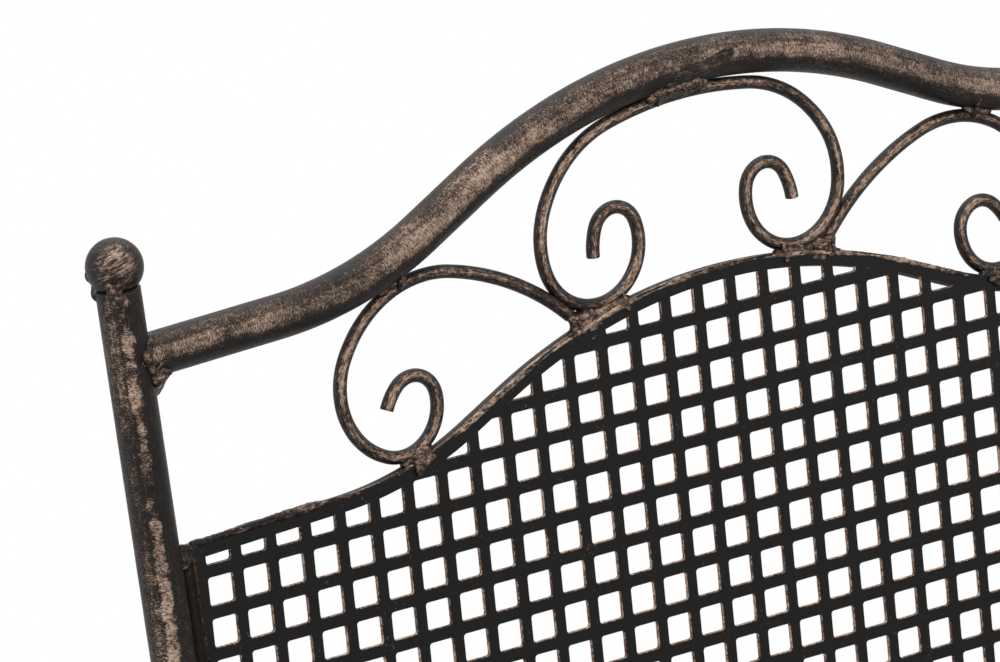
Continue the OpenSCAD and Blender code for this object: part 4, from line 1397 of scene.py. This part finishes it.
def sheet_edge_run(c):
    """The uneven run of weld and paint along the upper edge of the sheet, thick beside the posts."""
    rng = random.Random(c.s.seed)
    over = EDGE_OVER - EDGE_RUN_SUNK
    half_w = HALF_GAP - PANEL_SIDE_GAP
    ahead = c.edge_r + c.s.sheet_t - EDGE_RUN_INSIDE
    curve = trail((-HALF_GAP, c.panel_side_v + over, 0), c.panel.steps(over), spacing=0.0011)
    drops = []
    for place in (p for p in curve if abs(p.x) < half_w):
        beside_post = share_past(abs(place.x), EDGE_THICK_FROM, 0.02)
        at_crest = 1 - share_past(abs(place.x), EDGE_CREST_TO, 0.01)
        wave = math.sin(190 * place.x) * math.sin(61 * place.x)
        radius = 0.0006 + 0.0009 * beside_post + 0.0004 * at_crest + 0.0003 * wave
        lift = 0.00015 * rng.uniform(-1, 1) + 0.0006 * beside_post - 0.0004 * at_crest
        drops.append((c.back(place.x, place.y + lift, ahead), radius * rng.uniform(0.93, 1.1)))
    return drops


def back_beads(c):
    """(label, drops) of each weld on the left half of the back."""
    yield "rail_weld", rail_weld(c)
    yield "ball_weld", ball_weld(c)
    yield "side_scroll_rail_weld", shoulder_weld(c)
    yield "scroll_knot_weld", scroll_knot(c)
    yield "centre_foot_weld", centre_foot(c)
    yield "side_foot_weld", side_foot(c)
    yield "panel_corner_weld", panel_corner(c)
    rail_r = c.s.lower_rail_d / 2
    low_end = c.back(-HALF_GAP, LOWER_RAIL_UP, c.edge_r - rail_r)
    yield "lower_rail_weld", saddle_collar(
        low_end, ACROSS, c.up, c.tube_r, rail_r, 0.0014, seed=19, count=40)


def rail_weld(c):
    """A collar round the end of the rail, a ridge in front and a web under it."""
    r, v = c.tube_r, c.rail_v
    x = -HALF_GAP + r
    ring = saddle_collar(c.back(-HALF_GAP, v), ACROSS, c.up, r, 0.93 * r, 0.0019, seed=1, count=60)
    corner = c.back(x - 0.001, v - r + 0.0012, 0.0012)
    web = wedge(corner, 0.0062 * ACROSS, -0.0068 * c.up, 5, 0.0018, seed=2)
    ridge = c.back_line((x + 0.0045, v + 0.0005, r), (x - 0.0032, v - 0.0042, r - 0.0006), 10)
    corner = c.back(x - 0.002, v - 0.0055, r - 0.0022)
    flap = wedge(corner, 0.0055 * ACROSS, -0.0035 * c.up, 3, 0.0019, seed=3)
    return ring + web + bead_line(ridge, 0.0009, seed=4, scatter=0.2) + flap


def ball_weld(c):
    """A drip that bridges the seam under the ball, and a bulge beside it."""
    mouth = c.back(-HALF_GAP, c.mouth_v)
    drop_to_centre = (BALL_CENTRE - mouth).length

    def on_skin(direction, height, sink):
        level = abs(drop_to_centre - height)
        skin = c.tube_r if height < 0 else math.sqrt(max((BALL_D / 2) ** 2 - level**2, c.tube_r**2))
        return mouth + direction * (skin - sink) + c.up * height

    toward = Vector((-0.62, -0.78, 0)).normalized()
    aside = Vector((-0.8, 0.6, 0)).normalized()
    across = toward.cross(c.up).normalized()
    drip = [
        on_skin(toward, 0.001 * k, 0.0009) + across * offset
        for k in range(-3, 6) for offset in (-0.0012, 0.0011)
    ]
    bulge = [on_skin(aside, 0.0012 * k, 0.0008) for k in range(-3, 5)]
    return bead_line(drip, 0.0015, seed=5) + bead_line(bulge, 0.002, seed=6, scatter=0.15)


def shoulder_weld(c):
    """The tack between the shoulder of the side scroll and the rail."""
    middle = Vector((-c.rail.reach, c.rail_v + RAIL_HOLLOW_R))
    touch = middle + (RAIL_HOLLOW_R + c.tube_r) * Vector((sind(SIDE_TOUCH), -cosd(SIDE_TOUCH)))
    along = Vector((cosd(SIDE_TOUCH), sind(SIDE_TOUCH)))
    tack = [c.back(*(touch + along * (0.0016 * k - 0.006)), 0.0016) for k in range(8)]
    above = touch + along * 0.001 + Vector((0, 0.0046))
    below = touch + along * 0.0025 - Vector((0, 0.003))
    spur = c.back_line((*above, 0.0064), (*below, 0.0026), 8)
    return (
        bead_line(tack, 0.0018, seed=7, scatter=0.2) + bead_line(spur, 0.0011, seed=8, scatter=0.2)
    )


def scroll_knot(c):
    """Where the side scroll, the centre scroll and the top rod of the panel meet."""
    x, v = c.side_start[:2]
    corner = c.back(x + 0.0002, v - 0.0008, 0.0018)
    fill = wedge(corner, 0.0075 * ACROSS, -0.0075 * c.up, 5, 0.0021, seed=13)
    foot = c.back_line((x - 0.002, v - 0.0068, 0.0024), (x + 0.009, v - 0.0052, 0.0036), 8)
    ridge = c.back_line((x + 0.0004, v - 0.0002, 0.0038), (x + 0.001, v - 0.0058, 0.0054), 7)
    return (
        fill + bead_line(foot, 0.0018, seed=14, scatter=0.2)
        + bead_line(ridge, 0.0009, seed=15, scatter=0.25)
    )


def centre_foot(c):
    """The foot of the centre scroll on the top rod of the panel."""
    bend = centre_of(walk(c.centre_start, CENTRE_SCROLL[:4]), CENTRE_SCROLL[4])
    x, v = bend.x + 0.002, bend.y - CENTRE_SCROLL[4][0] - c.rod_r
    seat = c.back_line((x - 0.006, v, 0.0016), (x + 0.009, v + 0.0016, 0.0016), 11)
    lobe = c.back_line((x + 0.0065, v + 0.0035, 0.0034), (x + 0.0068, v - 0.0014, 0.0042), 6)
    return (
        bead_line(seat, 0.0019, seed=16, scatter=0.2) + bead_line(lobe, 0.0013, seed=17, scatter=0.25)
    )


def side_foot(c):
    """The foot of the side scroll, welded over the edge of the sheet."""
    bend = centre_of(walk(c.side_start, SIDE_SCROLL[:3]), SIDE_SCROLL[3])
    x, v = bend.x + 0.0035, bend.y - SIDE_SCROLL[3][0] - c.rod_r
    seat = c.back_line((x - 0.005, v, 0.0018), (x + 0.006, v + 0.003, 0.0018), 9)
    corner = c.back(x - 0.001, v + 0.001, 0.0044)
    mass = wedge(corner, 0.007 * ACROSS, -0.0045 * c.up, 4, 0.0017, seed=18)
    return bead_line(seat, 0.002, seed=19, scatter=0.2) + mass


def panel_corner(c):
    """The patch that holds the corner of the sheet to the post."""
    corner = c.back(-HALF_GAP + c.tube_r - 0.0006, c.panel_side_v + 0.0026, 0.0038)
    return wedge(corner, 0.0052 * ACROSS, -0.0064 * c.up, 4, 0.0017, seed=20)


class CHAIR_OT_back_welds(bpy.types.Operator):
    """Weld beads of the back: posts, rail, scrolls and the edge of the sheet"""

    bl_idname = "chair.back_welds"
    bl_label = "Back welds"

    def execute(self, context):
        c = shape()
        melt_both_sides(back_beads(c))
        melt("crest_weld", crest_weld(c), 150)
        melt("crest_flow", crest_flow(c), 151, "flow")
        melt("sheet_edge_weld", sheet_edge_run(c), 152, "edge_run", melt_steps=7)
        return {"FINISHED"}


def frame_beads(c):
    """(label, drops) of each weld on the left half of the frame."""
    r, touch = c.tube_r, ARM_SCROLL_R + c.rod_r
    ends = [0.0022 * k for k in range(-2, 3)]
    on_leg = [Vector((-HALF_GAP, c.arm_scroll_y - touch, c.arm_scroll_z + end)) for end in ends]
    yield "arm_scroll_leg_weld", bead_line(on_leg, 0.0016, seed=21)
    on_arm = [Vector((-HALF_GAP, c.arm_scroll_y + end, c.arm_scroll_z + touch)) for end in ends]
    yield "arm_scroll_arm_weld", bead_line(on_arm, 0.0016, seed=22)
    upright, rearwards = Vector((0, 0, 1)), Vector((0, 1, 0))
    stretcher_r, cross_r = c.s.stretcher_d / 2, c.s.cross_d / 2
    foot = Vector((-HALF_GAP, c.front_leg_y, STRETCHER_H))
    yield "stretcher_weld", saddle_collar(
        foot, rearwards, upright, r, stretcher_r, 0.001, seed=23, count=30)
    cross = Vector((-HALF_GAP, (c.front_leg_y + c.stretcher_end_y) / 2, STRETCHER_H))
    yield "cross_stretcher_weld", saddle_collar(
        cross, ACROSS, rearwards, stretcher_r, cross_r, 0.0009, seed=24, count=26)
    end = Vector((-c.seat_side_x, c.seat_rear_y, c.seat_z))
    yield "seat_rear_weld", saddle_collar(end, ACROSS, rearwards, r, 0.97 * r, 0.0011, seed=25, count=36)


class CHAIR_OT_frame_welds(bpy.types.Operator):
    """Weld beads of arms, stretchers and seat"""

    bl_idname = "chair.frame_welds"
    bl_label = "Frame welds"

    def execute(self, context):
        melt_both_sides(frame_beads(shape()), first_seed=200)
        return {"FINISHED"}


# Stage

FLOOR_R = 9.0
WHITE_FROM, WHITE_AT = 0.7, 1.5
STUDIO_LIGHT = 0.2

# Each light as name, place, target, width and power
LIGHTS = (
    ("key_light", (-0.9, -1.7, 2.8), (0, 0.1, 0.7), 1.2, 40),
    ("top_light", (0.2, 1.5, 2.7), (0, 0.2, 0.8), 1.5, 62),
    ("left_light", (-2.6, 0.7, 1.1), (0, 0.1, 0.8), 1.1, 26),
    ("fill_light", (2.5, -1.2, 1.3), (0, 0.1, 0.7), 1.4, 16),
)


def seen_directly(tree):
    """1 for what the camera sees, also in metal or through glass, 0 for light that falls on pieces."""
    rays = tree.add("ShaderNodeLightPath").outputs
    seen = tree.math("MAXIMUM", rays["Is Camera Ray"], rays["Is Glossy Ray"])
    return tree.math("MAXIMUM", seen, rays["Is Transmission Ray"])


def add_floor():
    """A round floor that is white to the camera away from the chair's shadow."""
    count = 96
    rim = [(FLOOR_R * cosd(360 * k / count), FLOOR_R * sind(360 * k / count), 0) for k in range(count)]
    mesh = bpy.data.meshes.new("floor")
    mesh.from_pydata([(0, 0, 0)] + rim, [], [(0, 1 + k, 1 + (k + 1) % count) for k in range(count)])
    floor = bpy.data.objects.new("floor", mesh)
    bpy.context.scene.collection.objects.link(floor)
    material, tree, shader = new_material("floor_paper")
    tree.put(shader, "Base Color", (0.8, 0.8, 0.8, 1))
    tree.put(shader, "Roughness", 0.9)
    tree.put(shader, "Specular IOR Level", 0.1)
    glow = tree.add("ShaderNodeEmission", Color=(1, 1, 1, 1))
    place = tree.add("ShaderNodeNewGeometry").outputs["Position"]
    away = tree.smooth_step(tree.vector("LENGTH", place), WHITE_FROM, WHITE_AT)
    own = tree.math("MULTIPLY", seen_directly(tree), away)
    mixed = tree.add("ShaderNodeMixShader")
    links = material.node_tree.links
    links.new(own, mixed.inputs[0])
    links.new(shader.outputs[0], mixed.inputs[1])
    links.new(glow.outputs[0], mixed.inputs[2])
    output = [n for n in material.node_tree.nodes if n.type == "OUTPUT_MATERIAL"][0]
    links.new(mixed.outputs[0], output.inputs["Surface"])
    mesh.materials.append(material)


def add_world():
    world = bpy.data.worlds.new("studio")
    bpy.context.scene.world = world
    world.use_nodes = True
    tree = Tree(world.node_tree)
    background = [n for n in world.node_tree.nodes if n.type == "BACKGROUND"][0]
    tree.put(background, "Color", (1, 1, 1, 1))
    strength = tree.plus_share(STUDIO_LIGHT, seen_directly(tree), 1 - STUDIO_LIGHT)
    tree.put(background, "Strength", strength)


def add_light(name, place, target, size, power):
    data = bpy.data.lights.new(name, "AREA")
    data.shape = "DISK"
    data.size = size
    data.energy = power
    lamp = bpy.data.objects.new(name, data)
    lamp.location = place
    aim = Vector(target) - Vector(place)
    lamp.rotation_euler = aim.to_track_quat("-Z", "Y").to_euler()
    bpy.context.scene.collection.objects.link(lamp)


def add_camera():
    c = shape()
    target = c.back(CAMERA_TARGET_X, c.rail_v - CAMERA_TARGET_BELOW_RAIL, CAMERA_TARGET_AHEAD)
    away = Vector((
        sind(CAMERA_AZIMUTH) * cosd(CAMERA_ELEVATION),
        -cosd(CAMERA_AZIMUTH) * cosd(CAMERA_ELEVATION),
        sind(CAMERA_ELEVATION),
    ))
    data = bpy.data.cameras.new("camera")
    data.lens = CAMERA_LENS
    data.sensor_width = 36
    camera = bpy.data.objects.new("camera", data)
    camera.location = target + away * CAMERA_DISTANCE
    camera.rotation_euler = (-away).to_track_quat("-Z", "Y").to_euler()
    bpy.context.scene.collection.objects.link(camera)
    bpy.context.scene.camera = camera


class CHAIR_OT_stage(bpy.types.Operator):
    """Pale floor, soft light and the camera of the photograph"""

    bl_idname = "chair.stage"
    bl_label = "Stage"

    def execute(self, context):
        add_floor()
        add_world()
        for light in LIGHTS:
            add_light(*light)
        add_camera()
        context.scene.view_settings.view_transform = "Standard"
        return {"FINISHED"}


PIECES = (
    CHAIR_OT_posts,
    CHAIR_OT_balls,
    CHAIR_OT_top_rail,
    CHAIR_OT_panel_rods,
    CHAIR_OT_back_panel,
    CHAIR_OT_back_scrolls,
    CHAIR_OT_arms,
    CHAIR_OT_arm_scrolls,
    CHAIR_OT_stretchers,
    CHAIR_OT_seat_frame,
    CHAIR_OT_seat_panel,
    CHAIR_OT_kept_parts,
    CHAIR_OT_back_welds,
    CHAIR_OT_frame_welds,
    CHAIR_OT_stage,
)


class CHAIR_PT_panel(bpy.types.Panel):
    """Lists the sizes, the finish and the pieces of the chair"""

    bl_idname = "CHAIR_PT_panel"
    bl_label = "Garden armchair"
    bl_space_type = "VIEW_3D"
    bl_region_type = "UI"
    bl_category = "Chair"

    def draw(self, context):
        for group in (context.scene.chair_sizes, context.scene.chair_finish):
            box = self.layout.box()
            for name in group.__annotations__:
                box.prop(group, name)
        for piece in PIECES:
            self.layout.operator(piece.bl_idname)


CLASSES = (ChairSizes, ChairFinish, *PIECES, CHAIR_PT_panel)


def register():
    for item in CLASSES:
        bpy.utils.register_class(item)
    bpy.types.Scene.chair_sizes = PointerProperty(type=ChairSizes)
    bpy.types.Scene.chair_finish = PointerProperty(type=ChairFinish)


def unregister():
    del bpy.types.Scene.chair_finish
    del bpy.types.Scene.chair_sizes
    for item in reversed(CLASSES):
        bpy.utils.unregister_class(item)


def main():
    register()
    for piece in PIECES:
        group, name = piece.bl_idname.split(".")
        getattr(getattr(bpy.ops, group), name)()
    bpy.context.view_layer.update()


if __name__ == "__main__":
    main()
